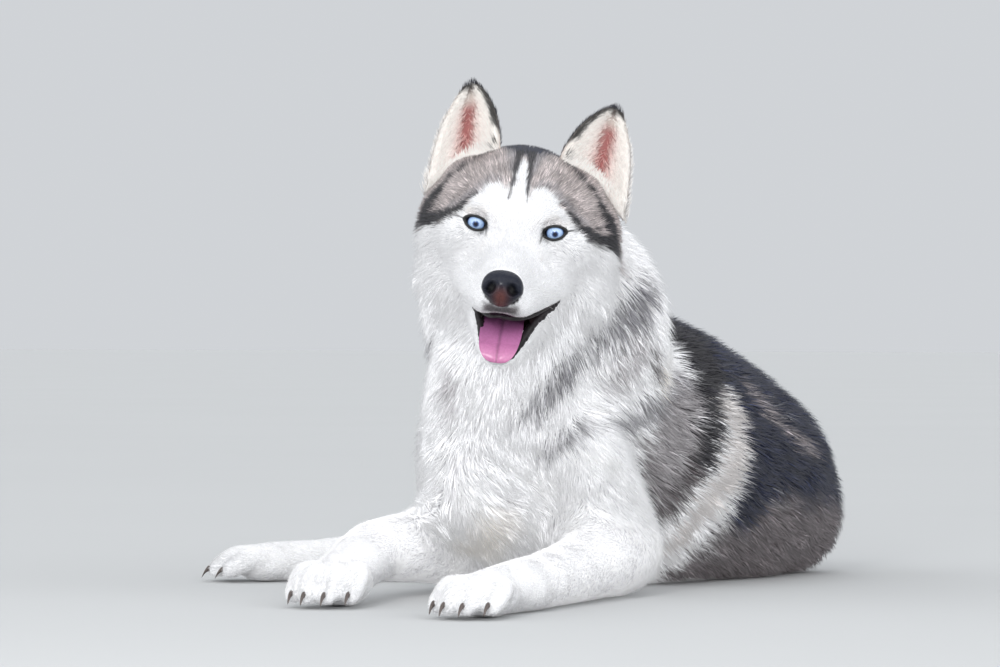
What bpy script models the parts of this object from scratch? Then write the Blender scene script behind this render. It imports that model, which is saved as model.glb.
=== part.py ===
"""A life-size still model of a siberian husky that lies rolled onto its left hip, head up and turned to its left.

Metres, +Z up, the floor at z = 0. The dog's own left is +X and it faces -Y. The flesh is described once, as named
balls and tapering limbs at the surface of the coat, then parted into nodes by cuts 0.3 mm wide.
"""

import math
import random

import bmesh
import bpy
from mathutils import Euler, Matrix, Vector
from mathutils.bvhtree import BVHTree

GAP = 0.0003
FAR = 1.2
SEED = 11

BODY_VOXEL = 0.006
HEAD_VOXEL = 0.003
PAW_VOXEL = 0.0026
FILLET_BODY = 0.014
FILLET_HEAD = 0.010
FILLET_PAW = 0.0
SOFTEN_BODY = 6
SOFTEN_HEAD = 6
SOFTEN_PAW = 3
REACH = 0.009
STAGGER = 0.0012

# Triangles kept in each piece of skin before it is parted.
BODY_TRIANGLES = 2500
HEAD_TRIANGLES = 2300
PAW_TRIANGLES = 460

# The head's own frame: x to its left, -y out of the muzzle, z up, from midway between the eyeballs.
HEAD_AT = Vector((0.090, -0.157, 0.329))
HEAD_DIP = 10.6
HEAD_ROLL = 7.5
HEAD_TURN = 29.7

EYE_SPREAD = 0.0345
EYE_BACK = 0.0015
EYE_RADIUS = 0.011
LID_THICK = 0.0024
LID_HALF_WIDTH = 0.0104
LID_HALF_HEIGHT = 0.0066
LID_TILT = 11

NOSE_AT = Vector((0, -0.0845, -0.040))
NOSE_HALF = (0.0178, 0.0130, 0.0152)
NOSTRIL_AT = (0.0093, -0.0100, -0.0020)
NOSTRIL_HALF = (0.0036, 0.0060, 0.0046)

EAR_BASE_IN = Vector((0.025, 0.050, 0.058))
EAR_BASE_OUT = Vector((0.090, 0.058, 0.014))
EAR_TIP = Vector((0.064, 0.046, 0.110))
EAR_BULGE_IN = 0.008
EAR_BULGE_OUT = 0.009
EAR_DRIFT = Vector((0.0085, 0, 0))
EAR_LEAN = 0.0030
EAR_CUP = 0.020
EAR_THICK = 0.0055
EAR_TIP_HALF = 0.0050

MOUTH_HINGE = Vector((0, 0.002, -0.060))
MOUTH_SLOPE = 22
TONGUE_HALF_WIDTH = 0.0195
TONGUE_THICK = 0.0045

# Where the body is parted: a point on each cut and the way out of the node behind it.
BEHIND_HEAD = (Vector((0, 0.074, -0.010)), Vector((0, 0.92, -0.39)))
UNDER_CHEEKS = (Vector((0, 0.004, -0.066)), Vector((0, -0.52, -0.85)))
BEHIND_JAW = (Vector((0, 0.004, -0.060)), Vector((0, 0.93, -0.37)))
UNDER_JAW = (Vector((0, 0, -0.124)), Vector((0, 0.10, -1)))
NECK_TORSO_CUT = (Vector((0, -0.010, 0.205)), Vector((0, -0.50, 0.866)))
TAIL_CUT = (Vector((-0.118, 0.488, 0)), Vector((-0.98, 0.20, 0)))

# The locks of long coat, each kind by its length, half-width, half-thickness and how far its tip stands off.
RUFF_LOCK = (0.066, 0.0155, 0.0048, 0.0100)
CHEEK_LOCK = (0.036, 0.0105, 0.0034, 0.0060)
BRUSH_LOCK = (0.070, 0.0150, 0.0048, 0.0110)
LOCK_ROOT_DEPTH = 0.009
LOCK_SWAY = 14
FIRST_CHEEK_LOCK = 500
FIRST_BRUSH_LOCK = 500
RUFF_ROWS = 4
RUFF_ROUND = 12
THROAT_ROWS = 3
THROAT_ANGLES = (-150, -120, -90, -60, -30)
THROAT_FRONT = -0.62
THROAT_TOP = 0.205
THROAT_TURN = 12
RUFF_FROM_HEAD = 0.010
RUFF_FROM_TORSO = 0.034
CHEEK_PLACES = ((-50, 0.020), (-30, 0.020), (-10, 0.024), (10, 0.030), (-60, 0.040), (-40, 0.042), (-19, 0.044))
BRUSH_ROWS = 6
BRUSH_ROUND = 7
BRUSH_FROM = 0.30
FLOOR_ROOM = 0.012

WHITE = (0.82, 0.81, 0.79)
GREY = (0.30, 0.29, 0.30)
BLUE = (0.42, 0.60, 0.80)
NOSE_BLACK = (0.035, 0.035, 0.045)
PINK = (0.70, 0.30, 0.42)

# Stations of each limb: x, y, z of its middle, then its radius, or its half-width and half-height.
TORSO = [
    (0.000, -0.085, 0.122, 0.056, 0.080),
    (0.000, -0.040, 0.126, 0.086, 0.108),
    (0.000, 0.030, 0.132, 0.098, 0.132),
    (0.000, 0.100, 0.132, 0.104, 0.134),
    (0.004, 0.170, 0.125, 0.107, 0.130),
    (0.010, 0.240, 0.110, 0.104, 0.118),
    (0.018, 0.300, 0.094, 0.096, 0.105),
    (0.024, 0.345, 0.081, 0.083, 0.094),
    (0.028, 0.382, 0.066, 0.061, 0.072),
]
NECK = [
    (0.000, 0.045, 0.140, 0.100, 0.093),
    (0.006, 0.020, 0.205, 0.107, 0.093),
    (0.020, -0.020, 0.268, 0.109, 0.089),
    (0.040, -0.056, 0.312, 0.080, 0.070),
]
THROAT = [
    (0.056, -0.092, 0.262, 0.054),
    (0.030, -0.084, 0.212, 0.066),
    (0.010, -0.070, 0.165, 0.070),
]
LEFT_FORELEG = [
    (0.070, -0.030, 0.124, 0.047),
    (0.088, 0.008, 0.041, 0.041),
    (0.113, -0.095, 0.030, 0.0305),
    (0.137, -0.195, 0.024, 0.0245),
]
RIGHT_FORELEG = [
    (-0.062, -0.030, 0.124, 0.046),
    (-0.080, 0.010, 0.042, 0.042),
    (-0.070, -0.080, 0.044, 0.035),
    (-0.055, -0.172, 0.044, 0.028),
]
LEFT_HIND = [
    (-0.012, 0.262, 0.052, 0.054),
    (-0.062, 0.160, 0.046, 0.049),
    (-0.130, 0.105, 0.030, 0.032),
    (-0.195, 0.058, 0.021, 0.0225),
]
RIGHT_HIND = [
    (-0.036, 0.286, 0.100, 0.060),
    (-0.104, 0.188, 0.100, 0.056),
    (-0.156, 0.150, 0.058, 0.034),
    (-0.205, 0.118, 0.023, 0.024),
]
TAIL = [
    (0.026, 0.380, 0.078, 0.030),
    (-0.006, 0.430, 0.055, 0.035),
    (-0.062, 0.472, 0.041, 0.041),
    (-0.145, 0.490, 0.040, 0.042),
    (-0.222, 0.468, 0.035, 0.035),
    (-0.272, 0.430, 0.025, 0.018),
]
LIMBS = {
    "foreleg_left": (LEFT_FORELEG[:2], LEFT_FORELEG[1:]),
    "foreleg_right": (RIGHT_FORELEG[:2], RIGHT_FORELEG[1:]),
    "hindleg_left": (LEFT_HIND[:2], LEFT_HIND[1:]),
    "hindleg_right": (RIGHT_HIND[:2], RIGHT_HIND[1:]),
}

# Each foot: the limb that it ends, its wrist or hock, degrees it points left of straight ahead, its length, its
# half-width at the toes and its height there.
FEET = {
    "forepaw_left": ("foreleg_left", 7.4, 0.146, 0.033, 0.040),
    "forepaw_right": ("foreleg_right", 16.0, 0.140, 0.034, 0.046),
    "hindfoot_left": ("hindleg_left", -51.5, 0.190, 0.031, 0.038),
    "hindfoot_right": ("hindleg_right", -57.0, 0.165, 0.030, 0.038),
}


def remove_everything():
    """Clear the startup scene."""
    for thing in list(bpy.data.objects):
        bpy.data.objects.remove(thing, do_unlink=True)


def head_matrix():
    """Where the head's own frame sits in the world."""
    turn = Euler([math.radians(a) for a in (HEAD_DIP, HEAD_ROLL, HEAD_TURN)])
    return Matrix.Translation(HEAD_AT) @ turn.to_matrix().to_4x4()


def foot_matrix(name):
    """A frame at the floor below the wrist or hock, -y along the foot."""
    limb, turn, _, _, _ = FEET[name]
    x, y, _, _ = LIMBS[limb][1][-1]
    return Matrix.Translation((x, y, 0)) @ Matrix.Rotation(math.radians(turn), 4, "Z")


def lerp(a, b, t):
    return a + (b - a) * t


def ease(t):
    return t * t * (3 - 2 * t)


def catmull(a, b, c, d, t):
    """A point between b and c on the smooth curve through a, b, c and d."""
    return 0.5 * (2 * b + (c - a) * t + (2 * a - 5 * b + 4 * c - d) * t * t + (3 * b - a - 3 * c + d) * t**3)


def across(ahead):
    """Two unit vectors square to a direction, the second as upright as it can be."""
    ahead = ahead.normalized()
    helper = Vector((0, 0, 1)) if abs(ahead.z) < 0.9 else Vector((0, -1, 0))
    side = ahead.cross(helper).normalized()
    return side, side.cross(ahead).normalized()


def ball(bm, centre, radii, turn=(0, 0, 0), frame=Matrix.Identity(4), rings=14):
    """An ellipsoid with the given centre, half-sizes and turn in degrees, its poles up and down before the turn."""
    place = Matrix.Translation(centre) @ Euler([math.radians(a) for a in turn]).to_matrix().to_4x4()
    place = frame @ place @ Matrix.Diagonal((*radii, 1))
    top = bm.verts.new(place @ Vector((0, 0, 1)))
    foot = bm.verts.new(place @ Vector((0, 0, -1)))
    sides = 2 * rings
    loops = []
    for i in range(1, rings):
        high = math.cos(math.pi * i / rings)
        wide = math.sin(math.pi * i / rings)
        loop = []
        for k in range(sides):
            angle = 2 * math.pi * k / sides
            loop.append(bm.verts.new(place @ Vector((wide * math.cos(angle), wide * math.sin(angle), high))))
        loops.append(loop)
    for k in range(sides):
        nearby = (k + 1) % sides
        bm.faces.new((top, loops[0][k], loops[0][nearby]))
        bm.faces.new((foot, loops[-1][nearby], loops[-1][k]))
        for a, b in zip(loops, loops[1:]):
            bm.faces.new((a[k], b[k], b[nearby], a[nearby]))


def tube(bm, stations, frame=Matrix.Identity(4), sides=20, steps=5):
    """A limb with a round or oval section through its stations, with a rounded end at each."""
    rings = spread(stations, steps)
    loops = ring_loops(bm, rings, frame, sides)
    bm.faces.new(loops[0][::-1])
    bm.faces.new(loops[-1])
    for at, width, height in (rings[0], rings[-1]):
        ball(bm, at, (width * 0.98, min(width, height) * 0.98, height * 0.98), frame=frame)


def torso_flesh(bm):
    """Ribs, loins and the rump, with the shoulders against the ribs."""
    tube(bm, TORSO, sides=28)
    for side in (1, -1):
        ball(bm, (side * 0.060, -0.004, 0.142), (0.041, 0.075, 0.090))
        ball(bm, (side * 0.046, 0.045, 0.182), (0.050, 0.088, 0.072))


def neck_flesh(bm):
    """The neck with its ruff, from the shoulders to behind the cheeks."""
    tube(bm, NECK, sides=24)
    tube(bm, THROAT)


def head_flesh(bm):
    """The head without its ears, nose and lower jaw, at the surface of its coat."""
    frame = head_matrix()
    ball(bm, (0, 0.052, 0.007), (0.064, 0.066, 0.057), frame=frame)
    ball(bm, (0, 0.022, 0.012), (0.052, 0.040, 0.038), frame=frame)
    ball(bm, (0, 0.000, -0.018), (0.036, 0.040, 0.028), (20, 0, 0), frame=frame)
    tube(bm, [(0, 0.020, -0.026, 0.034), (0, -0.024, -0.032, 0.027), (0, -0.058, -0.040, 0.0235),
              (0, -0.073, -0.044, 0.0205)], frame=frame)
    for side in (1, -1):
        ball(bm, (side * 0.030, 0.008, 0.016), (0.020, 0.018, 0.014), (0, side * -12, 0), frame=frame)
        ball(bm, (side * 0.046, 0.026, -0.014), (0.029, 0.036, 0.032), frame=frame)
        ball(bm, (side * 0.056, 0.060, -0.020), (0.038, 0.040, 0.052), frame=frame)
        ball(bm, (side * 0.052, 0.056, -0.058), (0.038, 0.040, 0.044), frame=frame)
        ball(bm, (side * 0.042, 0.052, 0.016), (0.034, 0.036, 0.034), frame=frame)
        tube(bm, [(side * 0.038, 0.016, -0.044, 0.022), (side * 0.027, -0.028, -0.048, 0.0175),
                  (side * 0.0145, -0.068, -0.053, 0.0145)], frame=frame)


def jaw_flesh(bm):
    """The dropped lower jaw, from the throat to the chin."""
    tube(bm, [(0, 0.044, -0.078, 0.044), (0, 0.002, -0.085, 0.036, 0.027), (0, -0.036, -0.098, 0.0235, 0.0165),
              (0, -0.056, -0.1045, 0.0165, 0.0115)], frame=head_matrix())


def limb_flesh(bm, name):
    """The upper and lower lengths of one leg."""
    for length in LIMBS[name]:
        tube(bm, length)


def tail_flesh(bm):
    """The brush of the tail, curled round on the floor to the dog's right."""
    tube(bm, TAIL)


def foot_flesh(bm, name):
    """The foot below the wrist or hock, with its four toes."""
    limb, _, length, half_width, height = FEET[name]
    frame = foot_matrix(name)
    _, _, z, radius = LIMBS[limb][1][-1]
    knuckle = -length + 0.056
    half = height / 2
    tube(bm, [(0, 0.004, z, radius), (0, knuckle * 0.55, (z + half) / 2, (radius + half) / 2), (0, knuckle, half, half)],
         frame=frame)
    ball(bm, (0, knuckle - 0.006, half * 0.92), (half_width * 0.97, 0.032, half * 1.02), frame=frame)
    for x, back in ((-0.74, 0.013), (-0.26, 0), (0.26, 0), (0.74, 0.013)):
        tip = -length + 0.011 + back
        across_foot = x * half_width
        tube(bm, [(across_foot * 0.75, knuckle - 0.006, height * 0.62, 0.012),
                  (across_foot, tip + 0.018, height * 0.58, 0.0125), (across_foot * 1.04, tip, 0.012, 0.0105)],
             frame=frame, sides=12, steps=4)


def spread(stations, steps):
    """Close middles, half-widths and half-heights along the smooth curve through the stations."""
    points = [Vector(s[:3]) for s in stations]
    rings = []
    for i in range(len(points) - 1):
        before = points[max(i - 1, 0)]
        after = points[min(i + 2, len(points) - 1)]
        for k in range(steps + (i == len(points) - 2)):
            t = k / steps
            at = catmull(before, points[i], points[i + 1], after, t)
            width = lerp(stations[i][3], stations[i + 1][3], ease(t))
            height = lerp(stations[i][-1], stations[i + 1][-1], ease(t))
            rings.append((at, width, height))
    return rings


def ring_loops(bm, rings, frame, sides):
    """Loops of vertices round the rings, joined by faces."""
    loops = []
    for i, (at, width, height) in enumerate(rings):
        ahead = rings[min(i + 1, len(rings) - 1)][0] - rings[max(i - 1, 0)][0]
        side, up = across(ahead)
        loop = []
        for k in range(sides):
            angle = 2 * math.pi * k / sides
            loop.append(bm.verts.new(frame @ (at + width * math.cos(angle) * side + height * math.sin(angle) * up)))
        loops.append(loop)
    for a, b in zip(loops, loops[1:]):
        for k in range(sides):
            bm.faces.new((a[k], a[(k + 1) % sides], b[(k + 1) % sides], b[k]))
    return loops


def sleeve(stations, reach, sides=12, steps=2):
    """A closed cutter round a limb, standing off it by reach, with a blunt point beyond each end."""
    rings = [(at, width + reach, height + reach) for at, width, height in spread(stations, steps)]
    for end, inner in ((0, 1), (-1, -2)):
        at, width, height = rings[end]
        out = (at - rings[inner][0]).normalized()
        cap = (at + out * (0.55 * width + reach), width * 0.60, height * 0.60)
        rings.insert(0 if end == 0 else len(rings), cap)
    bm = bmesh.new()
    loops = ring_loops(bm, rings, Matrix.Identity(4), sides)
    bm.faces.new(loops[0][::-1])
    bm.faces.new(loops[-1])
    bmesh.ops.triangulate(bm, faces=bm.faces[:])
    bmesh.ops.recalc_face_normals(bm, faces=bm.faces[:])
    return mesh_object(bm, "cutter")


def mesh_object(bm, name):
    """A new mesh object from a bmesh, in the scene so that its modifiers can be worked out."""
    mesh = bpy.data.meshes.new(name)
    bm.to_mesh(mesh)
    bm.free()
    made = bpy.data.objects.new(name, mesh)
    bpy.context.scene.collection.objects.link(made)
    return made


def applied(thing):
    """The same object with its modifiers made real."""
    graph = bpy.context.evaluated_depsgraph_get()
    old = thing.data
    mesh = bpy.data.meshes.new_from_object(thing.evaluated_get(graph))
    thing.modifiers.clear()
    thing.data = mesh
    bpy.data.meshes.remove(old)
    return thing


def wrapped(thing, voxel, softening):
    """Put one even closed surface round everything in a mesh, then smooth it that many times."""
    remesh = thing.modifiers.new("skin", "REMESH")
    remesh.mode = "VOXEL"
    remesh.voxel_size = voxel
    smooth = thing.modifiers.new("soften", "SMOOTH")
    smooth.factor = 0.5
    smooth.iterations = softening


def grown(thing, by):
    """Move a surface out along its normals."""
    move = thing.modifiers.new("grow", "DISPLACE")
    move.mid_level = 0.0
    move.strength = by


def skinned(bm, name, voxel, fillet, softening, triangles):
    """One smooth closed skin round all the flesh, its creases filled to the fillet, with about that many triangles."""
    thing = mesh_object(bm, name)
    wrapped(thing, voxel, 2)
    if fillet > 0:
        grown(thing, fillet)
        wrapped(thing, voxel, 5)
        grown(thing, -fillet)
    wrapped(thing, voxel, softening)
    applied(thing)
    fewer = thing.modifiers.new("fewer", "DECIMATE")
    fewer.ratio = min(1.0, triangles / (2 * len(thing.data.polygons)))
    applied(thing)
    return thing


def copy_of(thing, name):
    """A separate object with the same mesh."""
    made = bpy.data.objects.new(name, thing.data.copy())
    bpy.context.scene.collection.objects.link(made)
    return made


def cell(planes, grow=0.0):
    """A closed convex block inside all the planes, each a point and the way out, every side moved out by grow."""
    bm = bmesh.new()
    bmesh.ops.create_cube(bm, size=2 * FAR)
    for point, out in planes:
        out = out.normalized()
        whole = bm.verts[:] + bm.edges[:] + bm.faces[:]
        cut = bmesh.ops.bisect_plane(bm, geom=whole, plane_co=point + out * grow, plane_no=out, clear_outer=True)
        rim = [g for g in cut["geom_cut"] if isinstance(g, bmesh.types.BMEdge)]
        bmesh.ops.holes_fill(bm, edges=rim)
    bmesh.ops.triangulate(bm, faces=bm.faces[:])
    bmesh.ops.recalc_face_normals(bm, faces=bm.faces[:])
    return mesh_object(bm, "cutter")


def boolean(thing, other, operation, solver="EXACT", keep_other=False):
    """Apply one Boolean with another object, which is then removed unless it is kept."""
    step = thing.modifiers.new("cut", "BOOLEAN")
    step.operation = operation
    step.solver = solver
    step.object = other
    applied(thing)
    if not keep_other:
        bpy.data.objects.remove(other, do_unlink=True)
    return thing


def largest_only(thing):
    """Keep only the largest closed surface of a mesh."""
    bm = bmesh.new()
    bm.from_mesh(thing.data)
    seen = set()
    groups = []
    for seed in bm.faces:
        if seed in seen:
            continue
        seen.add(seed)
        group = [seed]
        for face in group:
            for edge in face.edges:
                for near in edge.link_faces:
                    if near not in seen:
                        seen.add(near)
                        group.append(near)
        groups.append(group)
    groups.sort(key=lambda group: -sum(face.calc_area() for face in group))
    for group in groups[1:]:
        bmesh.ops.delete(bm, geom=group, context="FACES")
    loose = [v for v in bm.verts if not v.link_faces]
    bmesh.ops.delete(bm, geom=loose, context="VERTS")
    bmesh.ops.triangulate(bm, faces=bm.faces[:])
    bm.to_mesh(thing.data)
    bm.free()
    return thing


def swollen(thing, by):
    """A copy of a closed mesh with its surface moved out along its normals."""
    made = copy_of(thing, "cutter")
    bm = bmesh.new()
    bm.from_mesh(made.data)
    bm.normal_update()
    moved = [v.co + v.normal * v.calc_shell_factor() * by for v in bm.verts]
    for v, co in zip(bm.verts, moved):
        v.co = co
    bm.to_mesh(made.data)
    bm.free()
    return made


def turned(planes, matrix):
    """The same planes carried by a matrix."""
    spin = matrix.to_3x3()
    return [(matrix @ point, spin @ out) for point, out in planes]


def floor_plane():
    return (Vector((0, 0, 0)), Vector((0, 0, -1)))


def other_side(plane):
    """The same cut seen from the node on its other side, one gap away."""
    point, out = plane
    out = out.normalized()
    return (point + out * GAP, -out)


def parted(body, lengths, name):
    """Take out of the body what lies inside a sleeve round these lengths, and leave a gap round it."""
    inside = sleeve(lengths[0], REACH)
    outside = sleeve(lengths[0], REACH + GAP)
    for length in lengths[1:]:
        boolean(inside, sleeve(length, REACH + STAGGER, sides=11), "UNION")
        boolean(outside, sleeve(length, REACH + STAGGER + GAP, sides=11), "UNION")
    node = copy_of(body, name)
    boolean(node, inside, "INTERSECT")
    boolean(body, outside, "DIFFERENCE")
    largest_only(body)
    return node


def ankle_cut(name):
    """Where a foot meets its leg, from the leg's side."""
    frame = foot_matrix(name)
    return (frame @ Vector((0, -0.008, 0)), frame.to_3x3() @ Vector((0, -1, 0)))


def surface_of(thing):
    """A tree of a mesh's faces, for finding the nearest place on it."""
    bm = bmesh.new()
    bm.from_mesh(thing.data)
    tree = BVHTree.FromBMesh(bm)
    bm.free()
    return tree


def lock(tree, root, lie, kind, number, locks):
    """One flat lock that is rooted under the surface, bends along it and stands off it at its tip."""
    length, half_width, half_thick, lift = kind
    chance = random.Random(SEED * 1000 + number)
    length *= chance.uniform(0.85, 1.15)
    lift *= chance.uniform(0.7, 1.2)
    sway = math.radians(chance.uniform(-LOCK_SWAY, LOCK_SWAY))
    at, out, _, _ = tree.find_nearest(root)
    lie = (lie - lie.dot(out) * out).normalized()
    lie = Matrix.Rotation(sway, 3, out) @ lie
    bm = bmesh.new()
    loops = []
    for height, width, thick in ((-LOCK_ROOT_DEPTH, 0.65, 0.9), (-0.0005, 1.0, 1.0), (0.0012 + 0.6 * lift, 0.72, 0.7)):
        side = out.cross(lie).normalized()
        centre = at + out * height
        corners = ((1, 0), (0, 1), (-1, 0), (0, -1))
        loops.append([bm.verts.new(centre + side * (a * width * half_width) + out * (b * thick * half_thick))
                      for a, b in corners])
        at, out, _, _ = tree.find_nearest(at + lie * (length / 3))
        lie = (lie - lie.dot(out) * out).normalized()
        lie = Matrix.Rotation(-sway * 0.8, 3, out) @ lie
    tip = bm.verts.new(at + out * lift)
    for a, b in zip(loops, loops[1:]):
        for k in range(4):
            bm.faces.new((a[k], a[(k + 1) % 4], b[(k + 1) % 4], b[k]))
    for k in range(4):
        bm.faces.new((loops[-1][k], loops[-1][(k + 1) % 4], tip))
    bm.faces.new(loops[0][::-1])
    bmesh.ops.recalc_face_normals(bm, faces=bm.faces[:])
    bmesh.ops.triangulate(bm, faces=bm.faces[:])
    made = mesh_object(bm, "lock")
    bpy.context.scene.collection.objects.unlink(made)
    locks.objects.link(made)


def fused(thing, locks, solver="EXACT"):
    """One union of a node with all of its locks, which are then removed."""
    step = thing.modifiers.new("locks", "BOOLEAN")
    step.operation = "UNION"
    step.operand_type = "COLLECTION"
    step.collection = locks
    step.solver = solver
    applied(thing)
    for made in list(locks.objects):
        bpy.data.objects.remove(made, do_unlink=True)
    bpy.data.collections.remove(locks)


def lock_collection(name):
    """An empty collection in the scene for one node's locks."""
    locks = bpy.data.collections.new(name)
    bpy.context.scene.collection.children.link(locks)
    return locks


def reach_from(plane, point):
    """How far a point lies behind a cut, on the side that the cut keeps."""
    at, out = plane
    return (at - point).dot(out.normalized())


def ruff(neck, tree):
    """Rows of locks round the neck that lie back over the shoulders and down the chest."""
    locks = lock_collection("ruff")
    behind_head = turned([BEHIND_HEAD], head_matrix())[0]
    places = []
    ring = spread(NECK, RUFF_ROWS)
    for row, (middle, _, _) in enumerate(ring):
        ahead = ring[min(row + 1, len(ring) - 1)][0] - ring[max(row - 1, 0)][0]
        side, up = across(ahead)
        for k in range(RUFF_ROUND):
            angle = 2 * math.pi * (k + 0.5 * (row % 2)) / RUFF_ROUND
            outward = side * math.cos(angle) + up * math.sin(angle)
            if outward.y > THROAT_FRONT:
                places.append((middle, outward, -ahead.normalized()))
    for row, (middle, _, _) in enumerate(spread(THROAT, THROAT_ROWS)):
        for angle in THROAT_ANGLES:
            angle = math.radians(angle + 15 * (row % 2) + THROAT_TURN)
            places.append((middle, Vector((math.cos(angle), math.sin(angle), 0)), Vector((0, 0, -1))))
    for number, (middle, outward, lie) in enumerate(places):
        root, _, _, _ = tree.ray_cast(middle + outward * 0.3, -outward)
        if root is None:
            continue
        if -reach_from(behind_head, root) < RUFF_FROM_HEAD and root.z > THROAT_TOP:
            continue
        if root.z > THROAT_TOP and outward.y < THROAT_FRONT:
            continue
        if -reach_from(NECK_TORSO_CUT, root) < RUFF_FROM_TORSO:
            continue
        lock(tree, root, Vector((0, 0, -0.35)) + lie, RUFF_LOCK, number, locks)
    fused(neck, locks)


def cheeks(head, tree):
    """Locks on both cheeks that lie back and down."""
    locks = lock_collection("cheeks")
    frame = head_matrix()
    turn = frame.to_3x3()
    number = FIRST_CHEEK_LOCK
    for side in (1, -1):
        for angle, y in CHEEK_PLACES:
            number += 1
            outward = Vector((side * math.cos(math.radians(angle)), 0, math.sin(math.radians(angle))))
            far = frame @ (Vector((0, y, -0.012)) + outward * 0.2)
            root, _, _, _ = tree.ray_cast(far, turn @ -outward)
            lock(tree, root, turn @ Vector((0, 1, -0.75)), CHEEK_LOCK, number, locks)
    fused(head, locks)


def brush(tail, tree):
    """Rows of locks round the tail that lie towards its tip."""
    locks = lock_collection("brush")
    ring = spread(TAIL, BRUSH_ROWS)
    number = FIRST_BRUSH_LOCK
    first = int(BRUSH_FROM * len(ring))
    for row in range(first, len(ring) - 1, 3):
        middle, _, _ = ring[row]
        ahead = ring[row + 1][0] - ring[row - 1][0]
        side, up = across(ahead)
        for k in range(BRUSH_ROUND):
            number += 1
            angle = 2 * math.pi * (k + 0.5 * (row % 2)) / BRUSH_ROUND
            outward = side * math.cos(angle) + up * math.sin(angle)
            root, _, _, _ = tree.ray_cast(middle + outward * 0.2, -outward)
            if root is None or root.z < FLOOR_ROOM:
                continue
            lock(tree, root, ahead, BRUSH_LOCK, number, locks)
    fused(tail, locks, "MANIFOLD")


def finish(name, colour, roughness):
    """A plain Principled material."""
    material = bpy.data.materials.new(name)
    material.use_nodes = True
    shader = material.node_tree.nodes["Principled BSDF"]
    shader.inputs["Base Color"].default_value = (*colour, 1)
    shader.inputs["Roughness"].default_value = roughness
    shader.inputs["Metallic"].default_value = 0.0
    return material


def keep(thing, name, husky, colour, roughness=0.9):
    """Put a finished node in the husky's collection under its name, with its own material."""
    largest_only(thing)
    thing.name = name
    thing.data.name = name
    bpy.context.scene.collection.objects.unlink(thing)
    husky.objects.link(thing)
    thing.data.materials.clear()
    thing.data.materials.append(finish(name + "_coat", colour, roughness))
    return thing


def make_body(husky):
    """Neck, torso, legs and tail from one skin."""
    bm = bmesh.new()
    torso_flesh(bm)
    neck_flesh(bm)
    head_flesh(bm)
    tail_flesh(bm)
    for name in LIMBS:
        limb_flesh(bm, name)
    for name in FEET:
        foot_flesh(bm, name)
    jaw_flesh(bm)
    body = skinned(bm, "body", BODY_VOXEL, FILLET_BODY, SOFTEN_BODY, BODY_TRIANGLES)
    tree = surface_of(body)
    for planes in ([BEHIND_HEAD, UNDER_CHEEKS], [BEHIND_JAW, UNDER_JAW]):
        boolean(body, cell(turned(planes, head_matrix()), GAP), "DIFFERENCE")
    boolean(body, cell([floor_plane()]), "INTERSECT")
    neck = copy_of(body, "neck")
    boolean(neck, cell([other_side(NECK_TORSO_CUT)]), "INTERSECT")
    boolean(body, cell([NECK_TORSO_CUT]), "INTERSECT")
    largest_only(neck)
    ruff(neck, tree)
    keep(neck, "neck", husky, WHITE)
    tail = parted(body, [TAIL], "tail")
    brush(tail, tree)
    boolean(tail, cell([floor_plane()]), "INTERSECT")
    brush_end = copy_of(tail, "tail_end")
    boolean(tail, cell([TAIL_CUT]), "INTERSECT")
    boolean(brush_end, cell([other_side(TAIL_CUT)]), "INTERSECT")
    keep(tail, "tail_base", husky, GREY)
    keep(brush_end, "tail_end", husky, GREY)
    for foot in ("forepaw_left", "forepaw_right", "hindfoot_right", "hindfoot_left"):
        name = FEET[foot][0]
        leg = parted(body, LIMBS[name], name)
        boolean(leg, cell([ankle_cut(foot)]), "INTERSECT")
        keep(leg, name, husky, WHITE if "fore" in name else GREY)
    keep(body, "torso", husky, GREY)


def make_feet(husky):
    """The four feet, finer than the legs that they meet."""
    for name in FEET:
        bm = bmesh.new()
        foot_flesh(bm, name)
        tube(bm, LIMBS[FEET[name][0]][1][-2:])
        foot = skinned(bm, name, PAW_VOXEL, FILLET_PAW, SOFTEN_PAW, PAW_TRIANGLES)
        point, out = ankle_cut(name)
        boolean(foot, cell([other_side((point, out)), floor_plane()]), "INTERSECT")
        keep(foot, name, husky, WHITE)


def grid_shell(front, back, frame):
    """A closed shell between two grids of points that share their order."""
    bm = bmesh.new()
    layers = []
    for sheet in (front, back):
        layers.append([[bm.verts.new(frame @ p) for p in row] for row in sheet])
    rows = len(front)
    columns = len(front[0])
    for i in range(rows - 1):
        for k in range(columns - 1):
            for layer, order in ((layers[0], 1), (layers[1], -1)):
                face = [layer[i][k], layer[i][k + 1], layer[i + 1][k + 1], layer[i + 1][k]]
                bm.faces.new(face[::order])
    rim = [(0, k) for k in range(columns)] + [(i, columns - 1) for i in range(1, rows)]
    rim += [(rows - 1, k) for k in range(columns - 2, -1, -1)] + [(i, 0) for i in range(rows - 2, 0, -1)]
    for (i, k), (j, m) in zip(rim, rim[1:] + rim[:1]):
        bm.faces.new((layers[0][j][m], layers[0][i][k], layers[1][i][k], layers[1][j][m]))
    bmesh.ops.recalc_face_normals(bm, faces=bm.faces[:])
    bmesh.ops.triangulate(bm, faces=bm.faces[:])
    return bm


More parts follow.
